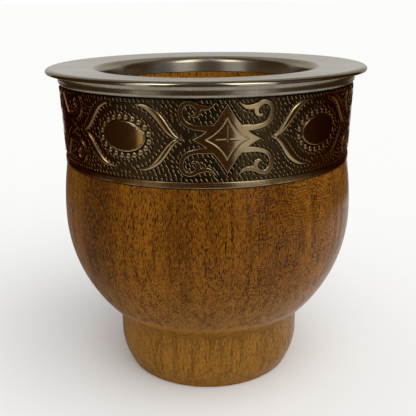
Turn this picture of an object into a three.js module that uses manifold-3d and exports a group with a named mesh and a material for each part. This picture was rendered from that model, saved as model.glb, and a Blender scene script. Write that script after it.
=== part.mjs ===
// Mate cup: a lathe-turned wooden bowl standing on its own foot, with a metal mount glued over
// its neck. The mount is a spun rim, a turned collar, a rolled and chased band closed by a
// soldered seam, and a border wire along the band's lower edge.
// Millimetres, +Z up, origin at the centre of the foot's underside, front towards -Y.
import * as THREE from 'three';
import { mergeVertices } from 'three/addons/utils/BufferGeometryUtils.js';
import Module from 'manifold-3d';

const wasm = await Module();
wasm.setup();

// Wooden cup, outside, from the base up
const footRadius = 27.6;
const footHeight = 17.1;
const footDrawIn = 2.4;
const footFlareHeight = 9.5;
const baseEdgeRadius = 0.7;
const footFillet = 1.4;
const bowlRadius = 42.2;
const upperBowlRise = 15.4;
const upperBowlRadius = 88;

// Wooden cup, inside
const mouthRadius = 29.8;
const mouthLedgeStep = 0.1;
const cavityBelly = 1.7;
const floorThickness = 20;

// Chased band, a slight cone with its seam at the back
const bandHeight = 21.36;
const bandSetback = 0.24;
const bandFlare = 0.75;
const bandSheet = 0.8;
const seamAngle = THREE.MathUtils.degToRad(167.5);
const seamWidth = 0.6;

// Border wire round the band's lower edge
const borderHeight = 1.6;
const borderProud = 0.42;
const borderDrawIn = 0.3;

// Collar under the rim
const collarHeight = 3;
const collarProud = 0.6;
const collarStripHeight = 1.1;
const collarStripStep = 0.1;
const collarCove = 1.9;

// Spun rim: shallow dished flange, rolled lip and throat sleeve
const rimSheet = 0.8;
const rimOverhang = 3.15;
const flangeDish = 0.5;
const lipRadius = 0.6;
const throatRoll = 2.2;
const throatDepth = 4.7;

// Chased ornament: stars with four scrolls, and ovals between two brackets
const ornamentRepeats = 5;
const ornamentTurn = THREE.MathUtils.degToRad(6.8);
const ornamentLift = 0.6;
const relief = 0.35;
const starMargin = 1.3;
const starTailReach = 8.4;
const starWaist = new THREE.Vector2(3.8, 2.1);
const scrollReach = 8.4;
const scrollMargin = 0.9;
const scrollOuterRadius = 2.7;
const scrollInnerRadius = 1;
const scrollStartAngle = THREE.MathUtils.degToRad(-105);
const scrollSweep = THREE.MathUtils.degToRad(330);
const scrollWidth = 1.1;
const scrollEndWidth = 0.7;
const stemRoot = new THREE.Vector2(3.4, 3);
const stemWidth = 1.5;
const leafReach = 4.8;
const leafSag = 1.1;
const leafWidth = 1.1;
const leafTipWidth = 0.3;
const ovalHalfWidth = 6;
const ovalHalfHeight = 3.9;
const motifGap = 2.4;
const bracketTail = 3.3;
const bracketMargin = 1.3;
const bracketEndReach = 3.4;
const bracketEndWidth = 0.5;
const bracketBend = 4.2;
const bracketRise = 1.4;
const bracketShoulder = 5;

// Fits between the pieces
const solderGap = 0.1;
const glueGap = 0.1;
const glueThickness = 0.35;
const seatGap = 0.2;

// Facets
const turns = 50;
const filletSteps = 3;
const arcSteps = 4;
const bowlSteps = 7;
const scrollSteps = 8;

// Heights, stacked from the base up. Under the dished flange they are those at its inner edge.
const bowlCentreHeight = footHeight + Math.sqrt(bowlRadius ** 2 - footRadius ** 2);
const shoulderHeight = bowlCentreHeight + upperBowlRise;
const bandBottom = shoulderHeight + seatGap;
const bandTop = bandBottom + bandHeight;
const borderTop = bandBottom + borderHeight;
const collarBottom = bandTop + solderGap;
const collarTop = collarBottom + collarHeight;
const flangeUnderside = collarTop + solderGap;
const flangeTop = flangeUnderside + rimSheet;
const cupHeight = flangeTop + flangeDish;
const woodTop = flangeUnderside - seatGap;
const sleeveBottom = flangeTop - throatDepth;
const ledgeHeight = sleeveBottom - seatGap;

// Radii, from the wood outwards
const shoulderRadius = bowlRadius - upperBowlRadius + Math.sqrt(upperBowlRadius ** 2 - upperBowlRise ** 2);
const bandBottomRadius = shoulderRadius - bandSetback;
const neckInset = bandSheet + glueThickness + 2 * glueGap;
const sleeveRadius = mouthRadius + rimSheet;
const collarRadius = bandBottomRadius + bandFlare + collarProud;
const rimRadius = collarRadius + rimOverhang;

// The field between border and collar that the ornament fills
const fieldHeight = (borderTop + bandTop) / 2;
const fieldHalfHeight = (bandTop - borderTop) / 2;
const fieldRadius = bandRadius(fieldHeight);
const bracketTip = (Math.PI * fieldRadius) / ornamentRepeats - starTailReach - motifGap;

// Angles in the radius and height plane
const outwards = 0;
const upwards = Math.PI / 2;
const inwards = Math.PI;
const downwards = -Math.PI / 2;

// Outer radius of the band's plain ground at a height, carried on past both its edges.
function bandRadius(height) {
  return bandBottomRadius + (bandFlare * (height - bandBottom)) / bandHeight;
}

function point(radius, height) {
  return new THREE.Vector2(radius, height);
}

// Points along an arc in the radius and height plane, both ends included.
function arc(centreRadius, centreHeight, radius, from, to, steps = arcSteps) {
  const points = [];
  for (let i = 0; i <= steps; i++) {
    const angle = from + ((to - from) * i) / steps;
    points.push(point(centreRadius + radius * Math.cos(angle), centreHeight + radius * Math.sin(angle)));
  }
  return points;
}

// The radius of an arc that leaves the upright and has moved sideways by a step over a rise.
function arcRadius(rise, step) {
  return (rise ** 2 + step ** 2) / (2 * step);
}

// A profile turned round the Z axis. A ring's profile is closed on itself.
function turned(profile) {
  return new THREE.LatheGeometry(profile, turns).rotateX(Math.PI / 2);
}

function turnedRing(profile) {
  return turned([...profile, profile[0].clone()]);
}

// A closed geometry as a solid for joining and cutting.
function solid(geometry) {
  const bare = geometry.clone();
  bare.deleteAttribute('normal');
  bare.deleteAttribute('uv');
  const merged = mergeVertices(bare);
  return new wasm.Manifold(new wasm.Mesh({
    numProp: 3,
    vertProperties: merged.attributes.position.array,
    triVerts: new Uint32Array(merged.index.array),
  }));
}

function geometryOf(made) {
  const mesh = made.getMesh();
  const geometry = new THREE.BufferGeometry();
  geometry.setAttribute('position', new THREE.BufferAttribute(mesh.vertProperties, 3));
  geometry.setIndex(new THREE.BufferAttribute(mesh.triVerts, 1));
  return geometry;
}

// Foot, crease and round bowl up to the shoulder, from the axis outwards.
function woodOutside() {
  const baseRadius = footRadius - footDrawIn;
  const flareRise = footFlareHeight - baseEdgeRadius;
  const flareRadius = arcRadius(flareRise, footDrawIn);
  const flareAngle = -Math.asin(flareRise / flareRadius);
  const filletReach = footRadius + footFillet;
  const filletDrop = Math.sqrt((bowlRadius + footFillet) ** 2 - filletReach ** 2);
  const filletHeight = bowlCentreHeight - filletDrop;
  const bowlAngle = -Math.atan2(filletDrop, filletReach);
  const shoulderAngle = Math.asin(upperBowlRise / upperBowlRadius);
  return [
    point(0, 0),
    ...arc(baseRadius - baseEdgeRadius, baseEdgeRadius, baseEdgeRadius, downwards, outwards, filletSteps),
    ...arc(footRadius - flareRadius, footFlareHeight, flareRadius, flareAngle, outwards).slice(1),
    ...arc(filletReach, filletHeight, footFillet, inwards, inwards + bowlAngle, filletSteps),
    ...arc(0, bowlCentreHeight, bowlRadius, bowlAngle, outwards, bowlSteps).slice(1),
    ...arc(bowlRadius - upperBowlRadius, bowlCentreHeight, upperBowlRadius, outwards, shoulderAngle).slice(1),
  ];
}

// The neck that carries the mount, the counterbore for its sleeve, and the hollow below.
function woodNeckAndInside() {
  const mouthWall = mouthRadius + mouthLedgeStep;
  const cavityRadius = mouthWall + cavityBelly;
  const cavityCentre = floorThickness + cavityRadius;
  const wallRise = ledgeHeight - cavityCentre;
  const wallRadius = arcRadius(wallRise, cavityBelly);
  const wallAngle = Math.asin(wallRise / wallRadius);
  const rollRelief = throatRoll - rimSheet - seatGap;
  return [
    point(bandRadius(shoulderHeight) - neckInset, shoulderHeight),
    point(bandRadius(woodTop) - neckInset, woodTop),
    ...arc(mouthRadius + throatRoll, woodTop - rollRelief, rollRelief, upwards, inwards, filletSteps),
    point(mouthRadius + throatRoll - rollRelief, ledgeHeight),
    ...arc(cavityRadius - wallRadius, cavityCentre, wallRadius, wallAngle, outwards),
    ...arc(0, cavityCentre, cavityRadius, outwards, downwards, bowlSteps).slice(1, -1),
    point(0, floorThickness),
  ];
}

// Wooden cup: bowl, foot and neck turned from one piece.
function woodCup() {
  return turned([...woodOutside(), ...woodNeckAndInside()]);
}

// How much higher the dished flange lies at a radius than at its inner edge.
function dishRise(radius) {
  const innerEdge = mouthRadius + throatRoll;
  return (flangeDish * (radius - innerEdge)) / (rimRadius - lipRadius - innerEdge);
}

// Spun rim: the throat sleeve rolls over into the dished flange, which ends in a rolled lip.
function rim() {
  const rollRadius = mouthRadius + throatRoll;
  const rollHeight = flangeTop - throatRoll;
  const lipCentre = rimRadius - lipRadius;
  const lipHeight = cupHeight - lipRadius;
  const lipMeets = Math.asin((lipRadius - rimSheet) / lipRadius);
  return turnedRing([
    point(mouthRadius, sleeveBottom),
    point(sleeveRadius, sleeveBottom),
    ...arc(rollRadius, rollHeight, throatRoll - rimSheet, inwards, upwards),
    ...arc(lipCentre, lipHeight, lipRadius, inwards - lipMeets, inwards + Math.PI),
    ...arc(lipCentre, lipHeight, lipRadius, outwards, upwards, filletSteps).slice(1),
    ...arc(rollRadius, rollHeight, throatRoll, upwards, inwards),
  ]);
}

// Collar: a plain strip at its foot, and a cove that spreads out under the flange.
function collar() {
  const innerRadius = bandRadius(collarTop) - bandSheet;
  const stripTop = collarBottom + collarStripHeight;
  const coveRadius = collarRadius - collarStripStep + collarCove;
  const coveHeight = collarTop + dishRise(coveRadius) - collarCove;
  return turnedRing([
    point(innerRadius, collarBottom),
    point(collarRadius, collarBottom),
    point(collarRadius, stripTop),
    point(collarRadius - collarStripStep, stripTop),
    ...arc(coveRadius, coveHeight, collarCove, inwards, upwards),
    point(innerRadius, collarTop + dishRise(innerRadius)),
  ]);
}

// A sleeve that follows the band's cone, its two faces given as offsets from the plain ground.
function bandSleeve(innerOffset, outerOffset, bottom, top) {
  return turnedRing([
    point(bandRadius(bottom) + innerOffset, bottom),
    point(bandRadius(bottom) + outerOffset, bottom),
    point(bandRadius(top) + outerOffset, top),
    point(bandRadius(top) + innerOffset, top),
  ]);
}

function mirrored(points, flipAcross, flipUp) {
  return points.map((p) => new THREE.Vector2(flipAcross ? -p.x : p.x, flipUp ? -p.y : p.y));
}

// The outline of a stroke whose width changes along its centre line.
function stroke(line, widths) {
  const left = [];
  const right = [];
  line.forEach((p, i) => {
    const before = line[Math.max(i - 1, 0)];
    const after = line[Math.min(i + 1, line.length - 1)];
    const half = after.clone().sub(before).normalize().multiplyScalar(widths[i] / 2);
    left.push(new THREE.Vector2(p.x - half.y, p.y + half.x));
    right.unshift(new THREE.Vector2(p.x + half.y, p.y - half.x));
  });
  return [...left, ...right];
}

// A star with four concave sides and two tails that point along the band.
function starOutline() {
  const top = new THREE.Vector2(0, fieldHalfHeight - starMargin);
  const tail = new THREE.Vector2(starTailReach, 0);
  const quarter = new THREE.QuadraticBezierCurve(top, starWaist, tail).getPoints(arcSteps);
  return [
    ...quarter.slice(0, -1),
    ...mirrored(quarter, false, true).reverse().slice(0, -1),
    ...mirrored(quarter, true, true).slice(0, -1),
    ...mirrored(quarter, true, false).reverse().slice(0, -1),
  ];
}

function scrollCentre() {
  return new THREE.Vector2(scrollReach, fieldHalfHeight - scrollMargin - scrollOuterRadius);
}

// A scroll that leaves the star, goes round in a closing spiral and ends in a hook.
function scrollOutline() {
  const line = [stemRoot];
  const widths = [stemWidth];
  for (let i = 0; i <= scrollSteps; i++) {
    const share = i / scrollSteps;
    const angle = scrollStartAngle + scrollSweep * share;
    const radius = scrollOuterRadius + (scrollInnerRadius - scrollOuterRadius) * share ** 2;
    const spoke = new THREE.Vector2(Math.cos(angle), Math.sin(angle)).multiplyScalar(radius);
    line.push(scrollCentre().add(spoke));
    widths.push(scrollWidth + (scrollEndWidth - scrollWidth) * share);
  }
  return stroke(line, widths);
}

// The leaf that springs from the back of a scroll towards the star's point.
function leafOutline() {
  const crown = fieldHalfHeight - scrollMargin - scrollWidth / 2;
  const root = new THREE.Vector2(scrollReach - scrollOuterRadius / 2, crown - leafWidth / 2);
  const tip = new THREE.Vector2(root.x - leafReach, crown);
  const sag = root.clone().add(tip).divideScalar(2).sub(new THREE.Vector2(0, leafSag));
  const line = new THREE.QuadraticBezierCurve(root, sag, tip).getPoints(filletSteps);
  const widths = line.map((p, i) => leafWidth + ((leafTipWidth - leafWidth) * i) / filletSteps);
  return stroke(line, widths);
}

// The bracket on one side of an oval: two crescents that meet in a pointed tail.
function bracketOutline() {
  const end = new THREE.Vector2(bracketEndReach, fieldHalfHeight - bracketMargin);
  const tip = new THREE.Vector2(bracketTip, 0);
  const bend = new THREE.Vector2(bracketTip - bracketBend, bracketRise);
  const shoulder = new THREE.Vector2(bracketTip - bracketShoulder, end.y - bracketEndWidth);
  const inset = new THREE.Vector2(bracketEndWidth, 2 * bracketEndWidth);
  const innerEnd = new THREE.Vector2(bracketEndReach, end.y - bracketEndWidth);
  const crook = new THREE.Vector2(bracketTip - bracketTail, 0);
  const outer = new THREE.CubicBezierCurve(tip, bend, shoulder, end);
  const inner = new THREE.CubicBezierCurve(
    innerEnd, shoulder.clone().sub(inset), bend.clone().sub(inset).setY(bracketRise), crook,
  );
  const upper = [...outer.getPoints(arcSteps), ...inner.getPoints(arcSteps)];
  return [...upper, ...mirrored(upper, false, true).reverse().slice(1, -1)];
}

function ovalOutline() {
  const curve = new THREE.EllipseCurve(0, 0, ovalHalfWidth, ovalHalfHeight);
  return curve.getPoints(4 * arcSteps).slice(0, -1);
}

// An outline laid on the band as a bar that points outwards through it. Widths are measured
// round the band, so they are drawn in to fit the flat shape.
function motifBar(outline, angle) {
  const flat = outline.map((p) => new THREE.Vector2(fieldRadius * Math.sin(p.x / fieldRadius), p.y));
  const bar = new THREE.ExtrudeGeometry(new THREE.Shape(flat), { depth: rimRadius, bevelEnabled: false });
  return solid(bar.rotateX(Math.PI / 2).translate(0, 0, fieldHeight + ornamentLift).rotateZ(angle));
}

// A star with its four scrolls and leaves.
function starBars(angle) {
  const bars = [motifBar(starOutline(), angle)];
  for (const flipAcross of [false, true]) {
    for (const flipUp of [false, true]) {
      bars.push(motifBar(mirrored(scrollOutline(), flipAcross, flipUp), angle));
      bars.push(motifBar(mirrored(leafOutline(), flipAcross, flipUp), angle));
    }
  }
  return bars;
}

// An oval with its two brackets.
function ovalBars(angle) {
  const brackets = [false, true].map((flip) => motifBar(mirrored(bracketOutline(), flip, false), angle));
  return [motifBar(ovalOutline(), angle), ...brackets];
}

// The raised parts of the ornament, all the way round.
function ornament() {
  const bars = [];
  for (let i = 0; i < ornamentRepeats; i++) {
    const starAngle = ornamentTurn + (2 * Math.PI * i) / ornamentRepeats;
    bars.push(...starBars(starAngle), ...ovalBars(starAngle + Math.PI / ornamentRepeats));
  }
  const sleeve = solid(bandSleeve(-bandSheet / 2, relief, borderTop, bandTop));
  return sleeve.intersect(wasm.Manifold.union(bars));
}

// A slot through the band at its seam.
function seamSlot(width) {
  const depth = 2 * (bandSheet + bandFlare + relief);
  const slot = new THREE.BoxGeometry(width, depth, 2 * bandHeight);
  return solid(slot.translate(0, -fieldRadius, fieldHeight).rotateZ(seamAngle));
}

function bandSheetRing() {
  return solid(bandSleeve(-bandSheet, 0, bandBottom, bandTop));
}

// Band: the rolled sheet with its raised ornament, open at the seam.
function chasedBand() {
  return geometryOf(bandSheetRing().add(ornament()).subtract(seamSlot(seamWidth)));
}

// The solder that fills the band's seam.
function seamSolder() {
  return geometryOf(bandSheetRing().intersect(seamSlot(seamWidth - 2 * solderGap)));
}

// Border wire: flat at its back against the band, rounded in front and drawn in below.
function borderWire() {
  const middle = (bandBottom + borderTop) / 2;
  const quarter = borderHeight / 4;
  const face = solderGap + borderProud;
  return turnedRing([
    point(bandRadius(bandBottom) + solderGap, bandBottom),
    point(bandRadius(bandBottom) + face - borderDrawIn, bandBottom),
    point(bandRadius(middle) + face - borderDrawIn / 4, bandBottom + quarter),
    point(bandRadius(middle) + face, middle),
    point(bandRadius(borderTop) + face, borderTop - quarter / 2),
    point(bandRadius(borderTop) + face - borderDrawIn / 2, borderTop),
    point(bandRadius(borderTop) + solderGap, borderTop),
  ]);
}

// Glue between the band and the wooden neck.
function glueBed() {
  const outerOffset = -bandSheet - glueGap;
  return bandSleeve(outerOffset - glueThickness, outerOffset, bandBottom, bandTop);
}

function finish(color, roughness, metalness) {
  return new THREE.MeshStandardMaterial({ color, roughness, metalness });
}

const cup = new THREE.Group();

function addPiece(name, geometry, material) {
  const mesh = new THREE.Mesh(geometry, material);
  mesh.name = name;
  cup.add(mesh);
}

addPiece('wood_cup', woodCup(), finish(0x7c4d1c, 0.38, 0));
addPiece('rim', rim(), finish(0xb8b4a8, 0.2, 1));
addPiece('under_rim_collar', collar(), finish(0xb0a998, 0.25, 1));
addPiece('chased_band', chasedBand(), finish(0x6b5638, 0.35, 1));
addPiece('band_seam_solder', seamSolder(), finish(0x9c9484, 0.4, 1));
addPiece('border_wire', borderWire(), finish(0x7a6645, 0.3, 1));
addPiece('glue_bed', glueBed(), finish(0xc9b98a, 0.5, 0));

export default cup;
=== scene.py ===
"""Mate cup: a turned wooden bowl with a spun rim and a chased metal band, on a plain stage."""

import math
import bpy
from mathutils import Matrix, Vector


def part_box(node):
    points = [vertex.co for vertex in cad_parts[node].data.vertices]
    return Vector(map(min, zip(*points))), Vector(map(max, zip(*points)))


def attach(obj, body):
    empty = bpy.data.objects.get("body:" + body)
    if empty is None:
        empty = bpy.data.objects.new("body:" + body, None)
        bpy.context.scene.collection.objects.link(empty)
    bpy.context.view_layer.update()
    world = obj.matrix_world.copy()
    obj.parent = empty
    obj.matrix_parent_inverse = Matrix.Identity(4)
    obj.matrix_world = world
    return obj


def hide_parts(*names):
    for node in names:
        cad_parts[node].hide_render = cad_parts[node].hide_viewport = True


bl_info = {
    "name": "Mate Cup",
    "version": (1, 0, 0),
    "blender": (4, 5, 0),
    "location": "View3D > Sidebar > Mate Cup",
    "description": "Builds a turned wooden mate cup with a chased metal mount",
    "category": "Add Mesh",
}

from types import SimpleNamespace

import bpy
import numpy as np
from bpy.props import FloatProperty, FloatVectorProperty, IntProperty, PointerProperty
from mathutils import Matrix, Vector, geometry, noise

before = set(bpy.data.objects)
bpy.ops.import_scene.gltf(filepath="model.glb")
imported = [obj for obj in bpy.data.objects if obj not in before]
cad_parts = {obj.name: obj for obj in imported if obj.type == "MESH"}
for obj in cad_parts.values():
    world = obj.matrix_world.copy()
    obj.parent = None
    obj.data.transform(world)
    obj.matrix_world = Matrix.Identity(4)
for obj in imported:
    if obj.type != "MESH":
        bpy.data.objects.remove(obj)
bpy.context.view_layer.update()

# All shapes are worked out in millimetres and written to meshes in metres.
MM = 0.001

# Angles in the radius and height plane
OUTWARDS, UPWARDS, INWARDS, DOWNWARDS = 0.0, math.pi / 2, math.pi, -math.pi / 2

# A radius under which a point counts as lying on the axis
ON_AXIS = 1e-6

# A distance under which two points of the band count as one
SAME_PLACE = 1e-4


def height_span(node):
    """The lowest and highest z of a CAD node, in millimetres."""
    low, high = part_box(node)
    return low.z / MM, high.z / MM


BAND_BOTTOM, BAND_TOP = height_span("chased_band")
BORDER_TOP = height_span("border_wire")[1]
COLLAR_BOTTOM, COLLAR_TOP = height_span("under_rim_collar")
SLEEVE_BOTTOM, CUP_HEIGHT = height_span("rim")
WOOD_TOP = height_span("wood_cup")[1]


def length(name, description, millimetres):
    """A length property whose default is given in millimetres."""
    return FloatProperty(
        name=name, description=description, default=millimetres * MM, precision=5, unit="LENGTH", min=0.0
    )


def degrees(name, description, value):
    """An angle property whose default is given in degrees."""
    return FloatProperty(name=name, description=description, default=math.radians(value), subtype="ANGLE")


def screen_to_linear(value):
    """A channel as it looks on screen, as the amount of light that it stands for."""
    return value / 12.92 if value <= 0.04045 else ((value + 0.055) / 1.055) ** 2.4


def colour(name, description, red, green, blue):
    """A colour property, given as it looks on screen, from 0 to 255."""
    return FloatVectorProperty(
        name=name, description=description, subtype="COLOR", size=4, min=0.0, max=1.0,
        default=(*(screen_to_linear(channel / 255) for channel in (red, green, blue)), 1.0),
    )


class WoodSettings(bpy.types.PropertyGroup):
    """The turned wooden cup."""

    foot_radius: length("Foot radius", "Radius of the foot just under the bowl", 27.6)
    foot_height: length("Foot height", "Height of the crease between foot and bowl", 17.1)
    foot_draw_in: length("Foot draw-in", "How far the foot narrows towards its base", 2.4)
    foot_flare: length("Foot flare height", "Height over which the foot narrows", 9.5)
    base_edge: length("Base edge", "Rounding of the base's edge", 0.7)
    foot_fillet: length("Foot fillet", "Hollow rounding between foot and bowl", 1.4)
    bowl_radius: length("Bowl radius", "Radius of the round bowl", 42.2)
    upper_rise: length("Upper bowl rise", "From the bowl's widest point up to the mount", 15.4)
    upper_radius: length("Upper bowl radius", "Radius of the flatter curve above the widest point", 88.0)
    mouth_radius: length("Mouth radius", "Clear radius of the mouth", 29.8)
    mouth_ledge: length("Mouth ledge", "Step from the metal sleeve to the wooden wall", 0.1)
    belly: length("Belly", "How much wider the hollow is than the mouth", 1.7)
    floor: length("Floor", "Thickness of the wood under the hollow", 20.0)
    neck_inset: length("Neck inset", "From the band's outside down to the wooden neck", 1.35)
    light: colour("Light wood", "Pale streaks", 126, 75, 10)
    # Real flecks, and also laid on as painted sheen on the right and at the far left edge.
    fleck_and_sheen: colour("Flecks", "Bright flecks between the pores", 158, 98, 18)
    middle: colour("Middle wood", "Main tone", 84, 45, 4)
    # Real dark streaks, and also laid on as painted shade on the left and in the middle.
    dark: colour("Dark wood", "Dark streaks", 58, 29, 2)
    # Used as painted reflection of the pale floor, which pales the wood towards the bottom.
    foot: colour("Foot wood", "Paler wood of the foot", 149, 103, 38)
    # Painted light on the wood inside the mouth, which lies in shade.
    inside: colour("Inside wood", "Paler wood inside the mouth", 176, 116, 36)
    pore: colour("Pores", "Open pores filled with polish", 26, 10, 2)


class MountSettings(bpy.types.PropertyGroup):
    """The plain metal pieces of the mount."""

    rim_overhang: length("Rim overhang", "How far the lip stands out past the collar", 3.15)
    flange_dish: length("Flange dish", "How much higher the flange's outer edge is than its inner", 0.5)
    rim_sheet: length("Rim sheet", "Thickness of the rim's sheet", 0.8)
    lip: length("Lip radius", "Half the height of the rolled lip", 0.6)
    shoulder_width: length("Shoulder width", "How far in the lip's upper edge starts to round over", 1.7)
    shoulder_drop: length("Shoulder drop", "How far the lip's upper edge rounds down", 0.85)
    lip_edge: length("Lip edge", "Rounding of the lip's lower edge", 0.15)
    roll: length("Throat roll", "Radius of the roll from flange to throat", 2.2)
    throat_lean: degrees("Throat lean", "How far the throat leans out", 7.0)
    collar_proud: length("Collar proud", "How far the collar stands out past the band", 0.6)
    strip: length("Collar strip", "Height of the strip at the collar's foot", 1.1)
    strip_step: length("Strip step", "How far the strip stands out past the cove", 0.12)
    strip_turn_in: degrees("Strip turn-in", "How far the strip's face turns down at its foot", 68.0)
    strip_turn_top: degrees("Strip turn at top", "How far the strip's face turns down at its top", 8.0)
    cove: length("Collar cove", "Radius of the cove under the flange", 1.9)
    border_proud: length("Border proud", "How far the border wire stands out", 0.42)
    border_draw_in: length("Border draw-in", "How far the wire's foot draws in", 0.3)
    white_metal: colour("White metal", "Polished rim and collar", 146, 139, 124)
    dull_metal: colour("Dull metal", "Tarnish on the rim and collar", 98, 86, 60)


class BandSettings(bpy.types.PropertyGroup):
    """The chased band."""

    shoulder_setback: length("Setback", "From the wood's shoulder in to the band's ground", 0.24)
    flare: length("Flare", "How much wider the band is at its top", 0.75)
    sheet: length("Sheet", "Thickness of the band's sheet", 0.8)
    seam_width: length("Seam width", "Width of the soldered seam at the back", 0.5)
    repeats: IntProperty(name="Repeats", description="Stars, and ovals, round the band", default=5, min=1)
    turn: degrees("Turn", "Where the first star stands", 6.8)
    seam_turn: degrees("Seam turn", "Where the seam stands", 167.5)
    relief: length("Relief", "How far the ornament stands up from the ground", 0.36)
    lift: length("Lift", "How far the ornament sits above the middle of its field", 0.6)
    star_height: length("Star half height", "From a star's middle to its point", 8.5)
    star_reach: length("Star reach", "From a star's middle to the end of its tail", 8.4)
    oval_width: length("Oval half width", "Half the length of an oval", 6.0)
    oval_height: length("Oval half height", "Half the height of an oval", 3.87)
    bracket_gap: length("Bracket gap", "Between a star's tail and a bracket's tip", 2.4)
    bead_radius: length("Bead radius", "Radius of the beads round an oval", 0.74)
    beads: IntProperty(name="Beads", description="Beads round an oval", default=20, min=3)
    mark_length: length("Mark length", "Length of a punch mark", 1.15)
    mark_width: length("Mark width", "Width of a punch mark", 0.36)
    ground: colour("Ground", "Darkened ground", 66, 53, 34)
    raised: colour("Raised metal", "Polished ornament", 157, 139, 105)
    worn: colour("Worn edges", "Edges rubbed bright", 205, 192, 162)
    # Painted shadow: near-black grains beside the punch marks stand in for the shade in their dents, with
    # some dark patina.
    hollow: colour("Hollows", "Dark dents beside the punch marks", 18, 13, 8)
    field: colour("Warm tarnish", "Warm tarnish on the ornament", 104, 74, 42)
    # Painted shade: this brown darkens the band towards its left and right ends, where it turns away from
    # the front.
    brown: colour("Brown tarnish", "Thick tarnish on the band's left and right", 74, 36, 8)


class StageSettings(bpy.types.PropertyGroup):
    """Floor, light and camera."""

    floor: colour("Floor", "Plain pale floor", 246, 246, 245)
    lens: FloatProperty(name="Lens", description="Focal length", default=56.82, unit="CAMERA")
    distance: length("Camera distance", "From the cup's axis to the camera", 191.96)
    camera_height: length("Camera height", "Of the camera above the floor", 107.69)
    camera_side: FloatProperty(
        name="Camera side", description="Of the camera from the middle", default=0.132 * MM, unit="LENGTH"
    )
    pitch: FloatProperty(name="Pitch", description="Downward tilt", default=0.3063, subtype="ANGLE")
    roll: FloatProperty(name="Roll", description="Sideways tilt", default=-0.0108, subtype="ANGLE")


def millimetres(group):
    """The lengths in a settings group, in millimetres."""
    return SimpleNamespace(**{
        key: getattr(group, key) / MM
        for key, prop in group.bl_rna.properties.items()
        if prop.type == "FLOAT" and prop.unit == "LENGTH"
    })


def wood_sizes():
    return millimetres(bpy.context.scene.mate_wood)


def mount_sizes():
    return millimetres(bpy.context.scene.mate_mount)


def band_sizes():
    return millimetres(bpy.context.scene.mate_band)


def band_radius(height):
    """Outer radius of the band's plain ground at a height."""
    wood, band = wood_sizes(), band_sizes()
    shoulder = wood.bowl_radius - wood.upper_radius + math.sqrt(wood.upper_radius**2 - wood.upper_rise**2)
    return shoulder - band.shoulder_setback + band.flare * (height - BAND_BOTTOM) / (BAND_TOP - BAND_BOTTOM)


def dish_rise(radius):
    """How much higher the dished flange lies at a radius than at its inner edge."""
    wood, mount = wood_sizes(), mount_sizes()
    inner_edge = wood.mouth_radius + mount.roll
    outer_edge = band_radius(BAND_TOP) + mount.collar_proud + mount.rim_overhang - mount.lip
    return mount.flange_dish * (radius - inner_edge) / (outer_edge - inner_edge)


# Meshes and pieces

# Slot names that more than one piece passes
WHITE_METAL_SLOT, BAND_METAL_SLOT = "polished_white_metal", "darkened_chased_metal"


def arc(centre_radius, centre_height, radius, start, end, steps):
    """Points along an arc in the radius and height plane, both ends included."""
    return oval_arc(centre_radius, centre_height, radius, radius, start, end, steps)


def oval_arc(centre_radius, centre_height, width, height, start, end, steps):
    """Points along an arc that is wider or taller than round, both ends included."""
    angles = np.linspace(start, end, steps + 1)
    return [(centre_radius + width * math.cos(a), centre_height + height * math.sin(a)) for a in angles]


def arc_radius(rise, step):
    """The radius of an arc that leaves the upright and has moved sideways by a step over a rise."""
    return (rise**2 + step**2) / (2 * step)


def straight(start, end, steps):
    """Points along a straight line, without its first."""
    return [tuple(p) for p in np.linspace(start, end, steps + 1)[1:]]


def turned_mesh(name, profile, turns=288):
    """A profile turned round the Z axis. It closes on itself, or starts and ends on the axis."""
    is_ring = np.allclose(profile[0], profile[-1])
    rows = profile[:-1] if is_ring else profile
    angles = np.linspace(0.0, 2 * math.pi, turns, endpoint=False)
    vertices, starts, sizes = [], [], []
    for radius, height in rows:
        ring = angles[:1] if radius < ON_AXIS else angles
        starts.append(len(vertices))
        sizes.append(len(ring))
        vertices += [(radius * math.cos(a) * MM, radius * math.sin(a) * MM, height * MM) for a in ring]
    faces = []
    for i in range(len(rows) if is_ring else len(rows) - 1):
        k = (i + 1) % len(rows)
        for j in range(turns):
            following = (j + 1) % turns
            corners = (
                starts[i] + j % sizes[i], starts[i] + following % sizes[i],
                starts[k] + following % sizes[k], starts[k] + j % sizes[k],
            )
            faces.append(tuple(dict.fromkeys(corners)))
    return new_mesh(name, vertices, faces)


def new_mesh(name, vertices, faces):
    """A mesh from places in metres and faces."""
    mesh = bpy.data.meshes.new(name)
    mesh.from_pydata(vertices, [], faces)
    return mesh


def add_piece(mesh, material, slot, *nodes, sharp=40.0):
    """Puts a finished mesh into the scene as a piece that rides on the cup."""
    mesh.shade_smooth()
    mesh.set_sharp_from_angle(angle=math.radians(sharp))
    mesh.materials.clear()
    mesh.materials.append(material)
    piece = bpy.data.objects.new(mesh.name, mesh)
    bpy.context.scene.collection.objects.link(piece)
    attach(piece, "root")
    if nodes:
        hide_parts(*nodes)


# Shader nodes

# Sockets of the mix node that hold and give colours
MIX_FACTOR, MIX_FIRST, MIX_SECOND, MIX_RESULT = 0, 6, 7, 2


def set_input(tree, socket, value):
    """Links an input to another node's socket, or sets its value."""
    if isinstance(value, bpy.types.NodeSocket):
        tree.links.new(value, socket)
    else:
        socket.default_value = value


def add_node(tree, kind, values=None, **settings):
    """A node with its settings, and its inputs linked or set."""
    made = tree.nodes.new(kind)
    for key, value in settings.items():
        setattr(made, key, value)
    for key, value in (values or {}).items():
        set_input(tree, made.inputs[key], value)
    return made


def mix_colours(tree, factor, first, second):
    """One colour laid over another by a factor."""
    values = {MIX_FACTOR: factor, MIX_FIRST: first, MIX_SECOND: second}
    return add_node(tree, "ShaderNodeMix", values, data_type="RGBA").outputs[MIX_RESULT]


def maths(tree, operation, *values, clamp=False):
    """The result of one operation on values or sockets."""
    made = add_node(tree, "ShaderNodeMath", dict(enumerate(values)), operation=operation, use_clamp=clamp)
    return made.outputs[0]


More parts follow.
